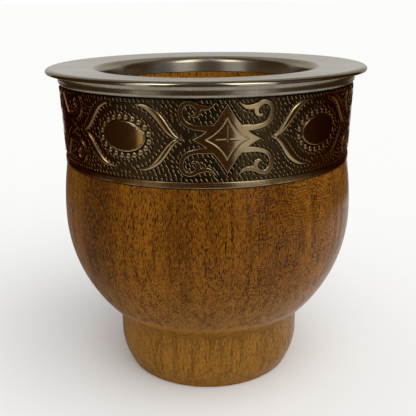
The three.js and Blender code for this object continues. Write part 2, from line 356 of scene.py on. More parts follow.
def ramp(tree, value, low, high, to_low=0.0, to_high=1.0):
    """A value carried smoothly from one range to another."""
    made = add_node(
        tree, "ShaderNodeMapRange", {0: value, 1: low, 2: high, 3: to_low, 4: to_high},
        interpolation_type="SMOOTHSTEP",
    )
    return made.outputs[0]


def between(tree, value, bounds, amount):
    """A mask that rises over the first two bounds and falls over the last two."""
    rise = ramp(tree, value, bounds[0], bounds[1], 0.0, amount)
    return maths(tree, "MULTIPLY", rise, ramp(tree, value, bounds[2], bounds[3], 1.0, 0.0))


def millimetre_place(tree, stretch=(1.0, 1.0, 1.0)):
    """Object coordinates in millimetres, with each axis multiplied by a stretch."""
    place = add_node(tree, "ShaderNodeTexCoord").outputs["Object"]
    scale = tuple(s / MM for s in stretch)
    return add_node(tree, "ShaderNodeVectorMath", {0: place, 1: scale}, operation="MULTIPLY").outputs[0]


def millimetre_axes(tree):
    """Object coordinates in millimetres, as separate values for x, y and z."""
    return add_node(tree, "ShaderNodeSeparateXYZ", {0: millimetre_place(tree)}).outputs


def axis_distance(tree, axes):
    """Distance from the cup's axis."""
    squares = [maths(tree, "POWER", axes[i], 2.0) for i in (0, 1)]
    return maths(tree, "SQRT", maths(tree, "ADD", *squares))


def noise_value(tree, place, scale, detail=2.0, roughness=0.5):
    """Soft noise between 0 and 1."""
    values = {"Vector": place, "Scale": scale, "Detail": detail, "Roughness": roughness}
    return add_node(tree, "ShaderNodeTexNoise", values).outputs[0]


def drawn_noise(tree, stretch, scale, detail=2.0, roughness=0.5):
    """Noise drawn out upwards where the stretch is under 1, and round the cup where it is over 1."""
    return noise_value(tree, millimetre_place(tree, (1.0, 1.0, stretch)), scale, detail, roughness)


def new_material(name):
    """A material with its tree, its shader and its output joined."""
    material = bpy.data.materials.new(name)
    material.use_nodes = True
    tree = material.node_tree
    tree.nodes.clear()
    shader = add_node(tree, "ShaderNodeBsdfPrincipled")
    add_node(tree, "ShaderNodeOutputMaterial", {"Surface": shader.outputs[0]})
    return material, tree, shader


def feed(tree, shader, **values):
    """Sets or links the shader's inputs, named with underscores for spaces."""
    for key, value in values.items():
        set_input(tree, shader.inputs[key.replace("_", " ")], value)


def bump(tree, height, strength, distance):
    """A normal that follows a height, over a distance in millimetres."""
    values = {"Height": height, "Strength": strength, "Distance": distance * MM}
    return add_node(tree, "ShaderNodeBump", values).outputs[0]


def tarnish_group():
    """Metal tarnish: soft clouds of dull colour, and small specks, over a clean metal."""
    if "Metal Tarnish" in bpy.data.node_groups:
        return bpy.data.node_groups["Metal Tarnish"]
    tree = bpy.data.node_groups.new("Metal Tarnish", "ShaderNodeTree")
    sockets = tree.interface
    for name, kind in (("Clean", "Color"), ("Dull", "Color"), ("Amount", "Float"), ("Polish", "Float")):
        sockets.new_socket(name, in_out="INPUT", socket_type=f"NodeSocket{kind}")
    sockets.new_socket("Color", in_out="OUTPUT", socket_type="NodeSocketColor")
    sockets.new_socket("Roughness", in_out="OUTPUT", socket_type="NodeSocketFloat")
    given = add_node(tree, "NodeGroupInput").outputs
    place = millimetre_place(tree)
    speck_share, dullness = 0.4, 0.18
    clouds = noise_value(tree, place, scale=0.11, detail=5.0, roughness=0.6)
    specks = noise_value(tree, place, scale=1.7, detail=3.0, roughness=0.6)
    clouds, specks = ramp(tree, clouds, 0.38, 0.68), ramp(tree, specks, 0.55, 0.75)
    spread = maths(tree, "MULTIPLY_ADD", specks, speck_share, clouds)
    amount = maths(tree, "MULTIPLY", spread, given["Amount"], clamp=True)
    shade = mix_colours(tree, amount, given["Clean"], given["Dull"])
    roughness = maths(tree, "MULTIPLY_ADD", amount, dullness, given["Polish"])
    add_node(tree, "NodeGroupOutput", {"Color": shade, "Roughness": roughness})
    return tree


def tarnished(tree, clean, dull, amount, polish):
    """A metal's colour and roughness under its tarnish."""
    values = {"Clean": tuple(clean), "Dull": tuple(dull), "Amount": amount, "Polish": polish}
    made = add_node(tree, "ShaderNodeGroup", values, node_tree=tarnish_group())
    return made.outputs["Color"], made.outputs["Roughness"]


# Materials

# Tints of the metals' reflections
WHITE_METAL_TINT = (0.6, 0.575, 0.52, 1.0)
BAND_METAL_TINT = (0.5, 0.4, 0.28, 1.0)

# Hardened glue, where it is thick and where it is thin
THICK_GLUE, THIN_GLUE = (0.42, 0.33, 0.16, 1.0), (0.62, 0.55, 0.34, 1.0)


def wood_material():
    """Golden brown wood with upright grain, cut pores, a cross figure and a satin lacquer."""
    settings = bpy.context.scene.mate_wood
    material, tree, shader = new_material("Turned Wood")
    axes = millimetre_axes(tree)
    across, upward = axes[0], axes[2]
    fibre_relief = 0.15
    broad = drawn_noise(tree, stretch=0.2, scale=0.085, detail=3.0, roughness=0.55)
    streaks = drawn_noise(tree, stretch=0.05, scale=0.55, detail=4.0, roughness=0.62)
    fibres = drawn_noise(tree, stretch=0.12, scale=1.6, detail=3.0, roughness=0.65)
    mottle = drawn_noise(tree, stretch=0.24, scale=4.2, roughness=0.6)
    above_foot = ramp(tree, upward, 12.0, 27.0, 0.5, 1.0)
    pores = maths(tree, "MULTIPLY", wood_pores(tree), above_foot)
    layers = (
        # Painted light and shade from left to right
        *painted_wood_side_light(tree, across),
        # Painted reflection of the pale floor: the wood pales towards the bottom and fades out by the
        # bowl's widest point.
        ("foot", ramp(tree, upward, 10.0, 50.0, 1.0, 0.0)),
        ("dark", maths(tree, "MULTIPLY", ramp(tree, streaks, 0.46, 0.68, 0.0, 0.6), above_foot)),
        ("dark", ramp(tree, fibres, 0.46, 0.72, 0.0, 0.5)),
        ("dark", ramp(tree, mottle, 0.5, 0.68, 0.0, 0.55)),
        ("fleck_and_sheen", ramp(tree, mottle, 0.32, 0.5, 0.45, 0.0)),
        ("inside", mouth_painted_light(tree, axes)),
        ("dark", cross_figure(tree, across, upward)),
        ("pore", pores),
    )
    tone = mix_colours(tree, ramp(tree, broad, 0.36, 0.66), tuple(settings.middle), tuple(settings.light))
    for name, mask in layers:
        tone = mix_colours(tree, mask, tone, tuple(getattr(settings, name)))
    lacquer = ramp(tree, across, -34.0, 26.0, 0.0, 0.48)
    dents = maths(tree, "SUBTRACT", maths(tree, "MULTIPLY", fibres, fibre_relief), pores)
    feed(
        tree, shader, Base_Color=tone, Roughness=ramp(tree, streaks, 0.3, 0.7, 0.4, 0.52),
        Specular_IOR_Level=0.03, Coat_Weight=lacquer, Coat_Roughness=0.18, Coat_IOR=1.25,
        Normal=bump(tree, dents, strength=0.3, distance=0.06),
    )
    return material


def painted_wood_side_light(tree, across):
    """Painted light and shade across the wood from left to right, each a tone and its mask: darker
    stretches on the left and in the middle, paler ones left of the middle, on the right and at the far left
    edge.
    """
    return (
        ("dark", between(tree, across, (-40.0, -30.0, -28.0, -20.0), 0.35)),
        ("fleck_and_sheen", between(tree, across, (-25.0, -18.0, -16.0, -4.0), 0.55)),
        ("fleck_and_sheen", ramp(tree, across, -37.0, -31.0, 0.5, 0.0)),
        ("dark", between(tree, across, (-5.0, 0.0, 3.0, 8.0), 0.22)),
        ("fleck_and_sheen", ramp(tree, across, 4.0, 34.0, 0.0, 0.62)),
    )


def mouth_painted_light(tree, axes):
    """Painted light: the wood inside the mouth, above the floor of the hollow, made paler where it lies in
    shade.
    """
    strength = 0.8
    hollow = ramp(tree, axis_distance(tree, axes), 32.0, 34.0, 1.0, 0.0)
    above_floor = ramp(tree, axes[2], 20.0, 24.0)
    return maths(tree, "MULTIPLY", maths(tree, "MULTIPLY", hollow, above_floor), strength)


def cross_figure(tree, across, upward):
    """Fine ripples across the grain, in patches on the upper right."""
    sway_height, radians_per_mm = 6.5, 8.2
    place = millimetre_place(tree)
    sway = maths(tree, "MULTIPLY", noise_value(tree, place, scale=0.12), sway_height)
    wave = maths(tree, "SINE", maths(tree, "MULTIPLY", maths(tree, "ADD", upward, sway), radians_per_mm))
    upper_right = maths(tree, "MULTIPLY", ramp(tree, across, 2.0, 14.0), ramp(tree, upward, 30.0, 42.0))
    patches = ramp(tree, noise_value(tree, place, scale=0.2), 0.36, 0.56)
    patches = maths(tree, "MULTIPLY", upper_right, patches)
    return maths(tree, "MULTIPLY", ramp(tree, wave, -0.4, 1.0, 0.0, 0.62), patches)


def wood_pores(tree):
    """Short and long pores, crowded in some places."""
    short_strength = 0.9
    short = pore_mask(tree, density=(2.9, 2.9, 0.75), size=0.25)
    short = maths(tree, "MULTIPLY", short, short_strength)
    long = pore_mask(tree, density=(1.7, 1.7, 0.24), size=0.16)
    crowded = ramp(tree, drawn_noise(tree, stretch=0.4, scale=0.14), 0.34, 0.56, 0.65, 1.0)
    return maths(tree, "MULTIPLY", maths(tree, "MAXIMUM", short, long), crowded)


def pore_mask(tree, density, size):
    """Long upright pores, one in each stretched cell: dashes where cut along, dots where cut across."""
    soft_edge = 0.14
    cells = add_node(
        tree, "ShaderNodeTexVoronoi",
        {"Vector": millimetre_place(tree, density), "Scale": 1.0, "Randomness": 0.8},
        feature="F1", voronoi_dimensions="3D",
    )
    return ramp(tree, cells.outputs["Distance"], size, size + soft_edge, 1.0, 0.0)


def white_metal_material(name, amount, polish, spun):
    """Polished white metal with a faint spun finish, lightly tarnished and duller in the throat."""
    settings = bpy.context.scene.mate_mount
    material, tree, shader = new_material(name)
    shade, roughness = tarnished(tree, settings.white_metal, settings.dull_metal, amount, polish)
    axes = millimetre_axes(tree)
    distance = axis_distance(tree, axes)
    throat_dullness = ramp(tree, distance, 31.0, 33.0, 0.1, 0.0)
    ring = add_node(tree, "ShaderNodeCombineXYZ", {0: distance, 1: axes[2]}).outputs[0]
    spun_lines = noise_value(tree, ring, scale=6.0, detail=3.0, roughness=0.7)
    feed(
        tree, shader, Base_Color=shade, Metallic=1.0,
        Roughness=maths(tree, "ADD", roughness, throat_dullness),
        Specular_Tint=WHITE_METAL_TINT, Normal=bump(tree, spun_lines, spun, distance=0.02),
    )
    return material


def chased_material():
    """Chased metal, dark in its ground, polished where raised and rubbed bright along edges."""
    settings = bpy.context.scene.mate_band
    field_share, scratch_share = 0.35, 0.06
    ground_dullness, worn_dullness = 0.22, 0.3
    material, tree, shader = new_material("Chased Metal")
    chase = add_node(tree, "ShaderNodeAttribute", attribute_type="GEOMETRY", attribute_name="chase")
    shares = add_node(tree, "ShaderNodeSeparateColor", {0: chase.outputs["Color"]}).outputs
    raised, worn, field = shares["Red"], shares["Green"], shares["Blue"]
    ground = maths(tree, "SUBTRACT", 1.0, raised)
    body, roughness = tarnished(tree, settings.raised, settings.field, amount=0.45, polish=0.12)
    tone = mix_colours(tree, raised, tuple(settings.ground), body)
    tone = mix_colours(tree, maths(tree, "MULTIPLY", field, field_share), tone, tuple(settings.field))
    tone = mix_colours(tree, worn, tone, tuple(settings.worn))
    scratches = drawn_noise(tree, stretch=3.0, scale=3.0, detail=3.0, roughness=0.7)
    grit = noise_value(tree, millimetre_place(tree), scale=5.0)
    height = maths(tree, "MULTIPLY_ADD", scratches, scratch_share, maths(tree, "MULTIPLY", grit, ground))
    dullness = maths(tree, "MULTIPLY_ADD", ground, ground_dullness, roughness)
    dullness = maths(tree, "MULTIPLY_ADD", worn, worn_dullness, dullness)
    feed(
        tree, shader, Base_Color=painted_side_shade(tree, tone), Metallic=1.0, Roughness=dullness,
        Specular_Tint=BAND_METAL_TINT, Normal=bump(tree, height, strength=0.25, distance=0.05),
    )
    return material


def painted_side_shade(tree, tone):
    """A tone under painted shade: a brown laid over the band towards its left and right ends, thicker the
    further from the middle.
    """
    from_middle = maths(tree, "ABSOLUTE", millimetre_axes(tree)[0])
    amount = ramp(tree, from_middle, 17.0, 32.0, 0.0, 0.88)
    return mix_colours(tree, amount, tone, tuple(bpy.context.scene.mate_band.brown))


def rubbed_material(name, amount, polish, clean="raised", dull="field"):
    """The band's metal on its small pieces: beads, punch marks and their painted shadows, border and
    solder.
    """
    settings = bpy.context.scene.mate_band
    material, tree, shader = new_material(name)
    shade, roughness = tarnished(tree, getattr(settings, clean), getattr(settings, dull), amount, polish)
    scratches = drawn_noise(tree, stretch=4.0, scale=2.5, detail=3.0, roughness=0.7)
    feed(
        tree, shader, Base_Color=painted_side_shade(tree, shade), Metallic=1.0, Roughness=roughness,
        Specular_Tint=BAND_METAL_TINT, Normal=bump(tree, scratches, strength=0.12, distance=0.03),
    )
    return material


def glue_material():
    """Hardened glue, cloudy and uneven."""
    material, tree, shader = new_material("Hardened Glue")
    clouds = noise_value(tree, millimetre_place(tree), scale=0.3, detail=3.0)
    shade = mix_colours(tree, clouds, THICK_GLUE, THIN_GLUE)
    feed(tree, shader, Base_Color=shade, Roughness=ramp(tree, clouds, 0.3, 0.7, 0.4, 0.6))
    return material


# Turned pieces

def wood_profile():
    """The wooden cup from the middle of its base, up its outside, and down into the hollow."""
    w, m = wood_sizes(), mount_sizes()
    base = w.foot_radius - w.foot_draw_in
    flare_rise = w.foot_flare - w.base_edge
    flare = arc_radius(flare_rise, w.foot_draw_in)
    bowl_centre = w.foot_height + math.sqrt(w.bowl_radius**2 - w.foot_radius**2)
    reach = w.foot_radius + w.foot_fillet
    drop = math.sqrt((w.bowl_radius + w.foot_fillet) ** 2 - reach**2)
    bowl_angle = -math.atan2(drop, reach)
    shoulder = bowl_centre + w.upper_rise
    shoulder_angle = math.asin(w.upper_rise / w.upper_radius)
    hollow = w.mouth_radius + w.mouth_ledge + w.belly
    hollow_centre = w.floor + hollow
    seat = CUP_HEIGHT - m.flange_dish - m.rim_sheet - WOOD_TOP
    relief = m.roll - m.rim_sheet - seat
    ledge = SLEEVE_BOTTOM - seat
    wall_rise = ledge - hollow_centre
    wall = arc_radius(wall_rise, w.belly)
    wall_angle = math.asin(wall_rise / wall)
    return [
        (0.0, 0.0),
        *straight((0.0, 0.0), (base - w.base_edge, 0.0), 8),
        *arc(base - w.base_edge, w.base_edge, w.base_edge, DOWNWARDS, OUTWARDS, 8)[1:],
        *arc(w.foot_radius - flare, w.foot_flare, flare, -math.asin(flare_rise / flare), OUTWARDS, 14)[1:],
        *arc(reach, bowl_centre - drop, w.foot_fillet, INWARDS, INWARDS + bowl_angle, 10),
        *arc(0.0, bowl_centre, w.bowl_radius, bowl_angle, OUTWARDS, 40)[1:],
        *arc(w.bowl_radius - w.upper_radius, bowl_centre, w.upper_radius, OUTWARDS, shoulder_angle, 14)[1:],
        (band_radius(shoulder) - w.neck_inset, shoulder),
        (band_radius(WOOD_TOP) - w.neck_inset, WOOD_TOP),
        *arc(w.mouth_radius + m.roll, WOOD_TOP - relief, relief, UPWARDS, INWARDS, 6),
        (w.mouth_radius + m.roll - relief, ledge),
        *arc(hollow - wall, hollow_centre, wall, wall_angle, OUTWARDS, 16),
        *arc(0.0, hollow_centre, hollow, OUTWARDS, DOWNWARDS, 30)[1:-1],
        (0.0, w.floor),
    ]


def rim_profile():
    """The throat sleeve, the dished flange and the rolled lip, as one closed section."""
    w, m = wood_sizes(), mount_sizes()
    lean = bpy.context.scene.mate_mount.throat_lean
    outer = band_radius(BAND_TOP) + m.collar_proud + m.rim_overhang
    flange_top = CUP_HEIGHT - m.flange_dish
    roll_height = flange_top - m.roll
    sleeve = roll_height + m.roll * math.sin(lean) - SLEEVE_BOTTOM
    roll_radius = w.mouth_radius + m.roll * math.cos(lean) + sleeve * math.tan(lean)
    throat_top = (roll_radius - m.roll * math.cos(lean), SLEEVE_BOTTOM + sleeve)
    throat_bottom = (w.mouth_radius, SLEEVE_BOTTOM)
    lip_radius, lip_height = outer - m.lip, CUP_HEIGHT - m.lip
    meets = math.asin((m.lip - m.rim_sheet) / m.lip)
    shoulder, shoulder_height = outer - m.shoulder_width, CUP_HEIGHT - m.shoulder_drop
    lip_bottom = CUP_HEIGHT - 2 * m.lip
    return [
        throat_bottom,
        (w.mouth_radius + m.rim_sheet, SLEEVE_BOTTOM),
        *arc(w.mouth_radius + m.roll, roll_height, m.roll - m.rim_sheet, INWARDS, UPWARDS, 8),
        *arc(lip_radius, lip_height, m.lip, INWARDS - meets, INWARDS + math.pi / 2, 10),
        *arc(outer - m.lip_edge, lip_bottom + m.lip_edge, m.lip_edge, DOWNWARDS, OUTWARDS, 5),
        *oval_arc(shoulder, shoulder_height, m.shoulder_width, m.shoulder_drop, OUTWARDS, UPWARDS, 18),
        *straight((shoulder, CUP_HEIGHT), (roll_radius, flange_top), 12),
        *arc(roll_radius, roll_height, m.roll, UPWARDS, INWARDS - lean, 20)[1:],
        *straight(throat_top, throat_bottom, 3),
    ]


def collar_profile():
    """A strip with a rounded face, and a cove that spreads out under the flange."""
    m, band = mount_sizes(), band_sizes()
    settings = bpy.context.scene.mate_mount
    turn_in, turn_top = settings.strip_turn_in, settings.strip_turn_top
    inner = band_radius(COLLAR_TOP) - band.sheet
    outer = band_radius(BAND_TOP) + m.collar_proud
    bulge = m.strip / (math.sin(turn_in) - math.sin(turn_top))
    cove_radius = outer - m.strip_step + m.cove
    section = [
        (inner, COLLAR_BOTTOM),
        *arc(outer - bulge, COLLAR_BOTTOM + bulge * math.sin(turn_in), bulge, -turn_in, -turn_top, 10),
        *arc(cove_radius, COLLAR_TOP - m.cove, m.cove, INWARDS, UPWARDS, 16),
        (inner, COLLAR_TOP + dish_rise(inner) - dish_rise(cove_radius)),
    ]
    return [*section, section[0]]


def border_profile():
    """The border wire: flat at its back, upright in front, with its foot drawn in."""
    m = mount_sizes()
    back = band_radius(BAND_BOTTOM)
    front = band_radius(BORDER_TOP) + m.border_proud
    # The upper edge is rounded over a ninth of the wire's height.
    edge = (BORDER_TOP - BAND_BOTTOM) / 9
    draw_in = m.border_draw_in
    foot = BAND_BOTTOM + draw_in
    section = [
        (back, BAND_BOTTOM),
        *arc(front - draw_in, foot, draw_in, DOWNWARDS, OUTWARDS, 6),
        *straight((front, foot), (front, BORDER_TOP - edge), 4),
        *arc(front - edge, BORDER_TOP - edge, edge, OUTWARDS, UPWARDS, 6)[1:],
        (back, BORDER_TOP),
    ]
    return [*section, section[0]]


# Chased ornament, laid out flat: s runs round the band from a star's middle, t upwards

def bezier(points, steps):
    """Points along a quadratic or cubic curve, both ends included."""
    share = np.linspace(0.0, 1.0, steps + 1)[:, None]
    line = [np.array(p, float) for p in points]
    while len(line) > 1:
        line = [a + (b - a) * share for a, b in zip(line, line[1:])]
    return line[0]


def stroke(line, widths):
    """The outline of a stroke whose width changes along its centre line."""
    line = np.asarray(line, float)
    along = np.gradient(line, axis=0)
    along /= np.linalg.norm(along, axis=1)[:, None]
    across = np.stack([-along[:, 1], along[:, 0]], axis=1) * (np.asarray(widths)[:, None] / 2)
    return np.concatenate([line + across, (line - across)[::-1]])


def mirror(points, across=False, up=False):
    """Points turned over to the other side, upside down, or both."""
    return np.asarray(points) * np.array([-1.0 if across else 1.0, -1.0 if up else 1.0])


def four_sided(quarter):
    """A closed outline from the quarter that runs from its top point to its right point."""
    return np.concatenate([
        quarter[:-1], mirror(quarter, up=True)[::-1][:-1],
        mirror(quarter, True, True)[:-1], mirror(quarter, across=True)[::-1][:-1],
    ])


def star_outline(band):
    """A star of four points, two upright and a tail on each side."""
    return four_sided(bezier([(0.0, band.star_height), (1.9, 5.0), (3.9, 1.9), (band.star_reach, 0.0)], 24))


def inner_star_outline():
    """The smaller star that is cut as a line inside a star."""
    return four_sided(bezier([(0.0, 5.0), (1.6, 1.5), (5.2, 0.0)], 14))


def smooth_line(points, steps=6):
    """A smooth line through points that each hold a place and a width."""
    points = np.asarray(points, float)
    points = np.vstack([2 * points[0] - points[1], points, 2 * points[-1] - points[-2]])
    share = np.linspace(0.0, 1.0, steps, endpoint=False)[:, None]
    line = []
    for a, b, c, d in zip(points, points[1:], points[2:], points[3:]):
        slope, bend, twist = (c - a) / 2, a - 2.5 * b + 2 * c - d / 2, 1.5 * (b - c) + (d - a) / 2
        line.append(b + slope * share + bend * share**2 + twist * share**3)
    return np.vstack([*line, points[-2:-1]])


def brush_outline(points):
    """The outline of a brush stroke through points that each hold a place and a width."""
    line = smooth_line(points)
    return stroke(line[:, :2], line[:, 2])


def scroll_outline():
    """A scroll that leaves the star, goes round in a closing spiral and ends in a hook."""
    return brush_outline([
        (2.9, 2.5, 1.7), (5.0, 2.66, 1.5), (7.0, 2.75, 1.25), (9.0, 3.25, 1.2), (10.35, 4.3, 1.18),
        (10.95, 5.7, 1.15), (10.85, 7.15, 1.2), (10.15, 8.1, 1.15), (9.0, 8.5, 1.1), (7.9, 8.2, 1.25),
        (7.05, 7.45, 1.4), (6.85, 6.5, 1.3), (7.25, 5.7, 1.05), (8.0, 5.45, 0.72), (8.6, 5.75, 0.34),
    ])


def leaf_outline():
    """The leaf that springs from the back of a scroll towards the star's point."""
    return brush_outline([
        (7.3, 7.8, 1.2), (6.1, 7.5, 1.2), (5.0, 7.35, 1.1), (4.1, 7.55, 0.85), (3.2, 8.15, 0.48),
        (2.5, 8.95, 0.08),
    ])


def ellipse_outline(width, height, count=72):
    """An oval from half its width and half its height."""
    angle = np.linspace(0.0, 2 * math.pi, count, endpoint=False)
    return np.stack([width * np.cos(angle), height * np.sin(angle)], axis=1)


def bracket_outline(tip):
    """The upper crescent of the frame beside an oval, from its pointed tail at the tip."""
    return brush_outline([
        (tip, 0.1, 0.1), (tip - 1.7, 0.55, 0.95), (tip - 3.2, 1.9, 1.5), (tip - 4.5, 3.6, 1.75),
        (tip - 5.9, 5.35, 1.75), (tip - 7.5, 6.75, 1.4), (tip - 9.3, 7.65, 0.95), (tip - 11.8, 8.05, 0.1),
    ])


def signed_distance(s, t, outline):
    """Distance to a closed outline, negative inside."""
    tiny = 1e-12
    nearest = np.full(s.shape, np.inf)
    inside = np.zeros(s.shape, bool)
    for (s0, t0), (s1, t1) in zip(outline, np.roll(outline, -1, axis=0)):
        ds, dt = s1 - s0, t1 - t0
        share = np.clip(((s - s0) * ds + (t - t0) * dt) / max(ds * ds + dt * dt, tiny), 0.0, 1.0)
        nearest = np.minimum(nearest, (s - s0 - share * ds) ** 2 + (t - t0 - share * dt) ** 2)
        if abs(dt) > tiny:
            crosses = (t0 > t) != (t1 > t)
            inside ^= crosses & (s < s0 + (t - t0) * ds / dt)
    return np.where(inside, -1.0, 1.0) * np.sqrt(nearest)


class Ornament:
    """Half a repeat of the ornament, from a star's middle to an oval's, as fields on a fine grid."""

    # Size of the grid's cells
    CELL = 0.08

    # Distances from an outline, negative inside it, along which the mesh has edges
    LEVELS = (0.32, 0.15, 0.01, -0.05, -0.13, -0.22)
    BRACKET_LEVELS = (0.32, 0.15, 0.01, -0.1, -0.3, -0.6)
    INNER_LEVELS = (0.2, 0.11, 0.0, -0.11, -0.2)
    CROSS_LEVELS = (0.17, 0.06)

    # Spacing of the mesh's points along those edges, round its frame and on plain stretches
    EDGE_STEP, FRAME_STEP, FILL_STEP = 0.2, 0.5, 0.62
    FILL_CLEARANCE = 0.2

    # The small cross in a star: from where to where its bar and its post run
    BAR_SPAN, POST_SPAN = (0.5, 2.7), (-0.6, 3.3)

    # Width of the rounded edges, and rise as a share of the band's relief
    STAR_EDGE, BRACKET_EDGE, OVAL_EDGE = 0.13, 0.7, 0.22
    BRACKET_RISE, OVAL_RISE = 1.15, 0.9

    # The groove round all raised forms, the line cut in a star, and the bar raised on it
    GROOVE_DEPTH, GROOVE_WIDTH = 0.14, 0.32
    CUT_DEPTH, CUT_WIDTH = 0.1, 0.12
    BAR_RISE, BAR_WIDTH = 0.04, 0.2

    # Depths inside an outline over which the raised metal and an oval's field set in
    RAISED_EDGE, FIELD_EDGE = (-0.06, 0.08), (0.16, 0.32)

    # How bright edges and lines are rubbed, and how wide
    EDGE_WEAR, EDGE_WEAR_WIDTH = 0.3, 0.06
    CUT_WEAR, CUT_WEAR_WIDTH = 0.5, 0.08
    # The bar is rubbed bright, and painted brighter than the post as a painted highlight along it.
    BAR_WEAR, BAR_WEAR_WIDTH = 1.0, 0.09
    POST_WEAR, POST_WEAR_WIDTH = 0.5, 0.08

    # Rows of punch marks: their distances from the ornament, and the marks' spacing in and between rows
    FIRST_ROW, LAST_ROW, ROW_STEP = 0.5, 9.0, 1.08
    MARK_STEP, MARK_GAP = 1.2, 0.95

    # Between an oval's edge and its beads
    BEAD_GAP = 0.2

    # The small shifts of work by hand, which fade out towards the band's edges
    SHIFT, SHIFT_WAVES, SHIFT_HEIGHT, SHIFT_FADE = 0.16, 4.4, 9.0, 1.2
    SHIFT_SEED = 3

    def __init__(self):
        settings = bpy.context.scene.mate_band
        self.band = band_sizes()
        self.repeats = settings.repeats
        self.middle = (BORDER_TOP + BAND_TOP) / 2 + self.band.lift
        self.radius = band_radius(self.middle)
        self.half = math.pi * self.radius / self.repeats
        self.low, self.high = BAND_BOTTOM - self.middle, BAND_TOP - self.middle
        self.field_low = BORDER_TOP - self.middle
        self.s = np.linspace(0.0, self.half, math.ceil(self.half / self.CELL) + 1)
        self.t = np.linspace(self.low, self.high, math.ceil((self.high - self.low) / self.CELL) + 1)
        s, t = np.meshgrid(self.s, self.t, indexing="ij")
        self.draw_star(s, t)
        self.draw_oval(s - self.half, t)
        self.outlines = (
            (self.star, self.LEVELS), (self.bracket, self.BRACKET_LEVELS), (self.oval, self.LEVELS),
            (self.inner, self.INNER_LEVELS), (np.minimum(self.bar, self.post), self.CROSS_LEVELS),
        )
        edges = np.minimum(self.high - t, t - self.field_low)
        self.free = np.minimum.reduce([self.star, self.bracket, self.oval, self.bead, edges])

    def draw_star(self, s, t):
        """Distances to the star with its scrolls and leaves, and to the lines inside it."""
        shapes = [star_outline(self.band)]
        for up in (False, True):
            shapes += [mirror(outline, up=up) for outline in (scroll_outline(), leaf_outline())]
        self.star = np.minimum.reduce([signed_distance(s, t, shape) for shape in shapes])
        self.inner = signed_distance(s, t, inner_star_outline())
        self.bar = np.hypot(s - np.clip(s, *self.BAR_SPAN), t)
        self.post = np.hypot(s, t - np.clip(t, *self.POST_SPAN))

    def draw_oval(self, over, t):
        """Distances to the oval, its bracket and its beads, over its own middle."""
        band = self.band
        arm = mirror(bracket_outline(self.half - band.star_reach - band.bracket_gap), across=True)
        arms = (arm, mirror(arm, up=True))
        self.bracket = np.minimum.reduce([signed_distance(over, t, outline) for outline in arms])
        self.oval = signed_distance(over, t, ellipse_outline(band.oval_width, band.oval_height))
        self.beads = self.bead_places()
        self.bead = np.minimum.reduce([
            np.hypot(over - across, t - up) - band.bead_radius for across, up in self.beads
        ])

    def bead_places(self):
        """Evenly spaced places round an oval, from its middle."""
        gap = self.band.bead_radius + self.BEAD_GAP
        fine = ellipse_outline(self.band.oval_width + gap, self.band.oval_height + gap, count=720)
        steps = np.linalg.norm(np.diff(np.vstack([fine, fine[:1]]), axis=0), axis=1)
        travelled = np.concatenate([[0.0], np.cumsum(steps)])
        count = bpy.context.scene.mate_band.beads
        wanted = (np.arange(count) + 0.5) / count * travelled[-1]
        return fine[np.searchsorted(travelled, wanted) % len(fine)]

    def sample(self, values, s, t):
        """A field's values at places between the grid's points."""
        # Just short of the last point, so that every place has a neighbour on both sides
        short = 1.001
        i = np.clip(s / self.half * (len(self.s) - 1), 0, len(self.s) - short)
        j = np.clip((t - self.low) / (self.high - self.low) * (len(self.t) - 1), 0, len(self.t) - short)
        i0, j0 = i.astype(int), j.astype(int)
        u, v = i - i0, j - j0
        near = values[i0, j0] * (1 - v) + values[i0, j0 + 1] * v
        far = values[i0 + 1, j0] * (1 - v) + values[i0 + 1, j0 + 1] * v
        return near * (1 - u) + far * u

    def relief(self, s, t):
        """Height over the plain ground, and the shares of raised metal, worn edge and dark field."""
        star, bracket, oval = (self.sample(f, s, t) for f in (self.star, self.bracket, self.oval))
        inner, bar, post = (self.sample(f, s, t) for f in (self.inner, self.bar, self.post))
        outside = np.minimum(np.minimum(star, bracket), oval)
        rise = self.band.relief
        height = np.maximum.reduce([
            rounded(star, rise, self.STAR_EDGE),
            rounded(bracket, rise * self.BRACKET_RISE, self.BRACKET_EDGE),
            rounded(oval, rise * self.OVAL_RISE, self.OVAL_EDGE),
        ])
        height -= self.GROOVE_DEPTH * np.sin(math.pi * np.clip(outside / self.GROOVE_WIDTH, 0.0, 1.0))
        height -= self.CUT_DEPTH * np.clip(1.0 - np.abs(inner) / self.CUT_WIDTH, 0.0, 1.0)
        height += self.BAR_RISE * np.clip(1.0 - bar / self.BAR_WIDTH, 0.0, 1.0)
        worn = np.maximum.reduce([
            self.EDGE_WEAR * np.exp(-(((outside + self.EDGE_WEAR_WIDTH) / self.EDGE_WEAR_WIDTH) ** 2)),
            self.CUT_WEAR * np.exp(-((inner / self.CUT_WEAR_WIDTH) ** 2)),
            self.BAR_WEAR * np.clip(2.0 - bar / self.BAR_WEAR_WIDTH, 0.0, 1.0),
            self.POST_WEAR * np.clip(2.0 - post / self.POST_WEAR_WIDTH, 0.0, 1.0),
        ])
        raised = soft_step(-outside, *self.RAISED_EDGE)
        field = soft_step(-oval, *self.FIELD_EDGE)
        return height, np.stack([raised, worn, field], axis=1)

    def flat_mesh(self):
        """Triangles over half a repeat, whose edges follow the ornament's outlines."""
        points, edges = [], []
        for values, levels in self.outlines:
            for level in levels:
                for line in contour_lines(values - level, self.s, self.t):
                    spaced = even_points(line, self.EDGE_STEP)
                    first = len(points)
                    points += [tuple(p) for p in spaced]
                    edges += [(first + i, first + i + 1) for i in range(len(spaced) - 1)]
        frame_points = self.frame_points(self.FRAME_STEP)
        first, count = len(points), len(frame_points)
        points += frame_points
        edges += [(first + i, first + (i + 1) % count) for i in range(count)]
        points += self.fill_points(self.FILL_STEP)
        made = geometry.delaunay_2d_cdt([Vector(p) for p in points], edges, [], 0, SAME_PLACE)
        return np.array([tuple(v) for v in made[0]]), np.array(made[2])

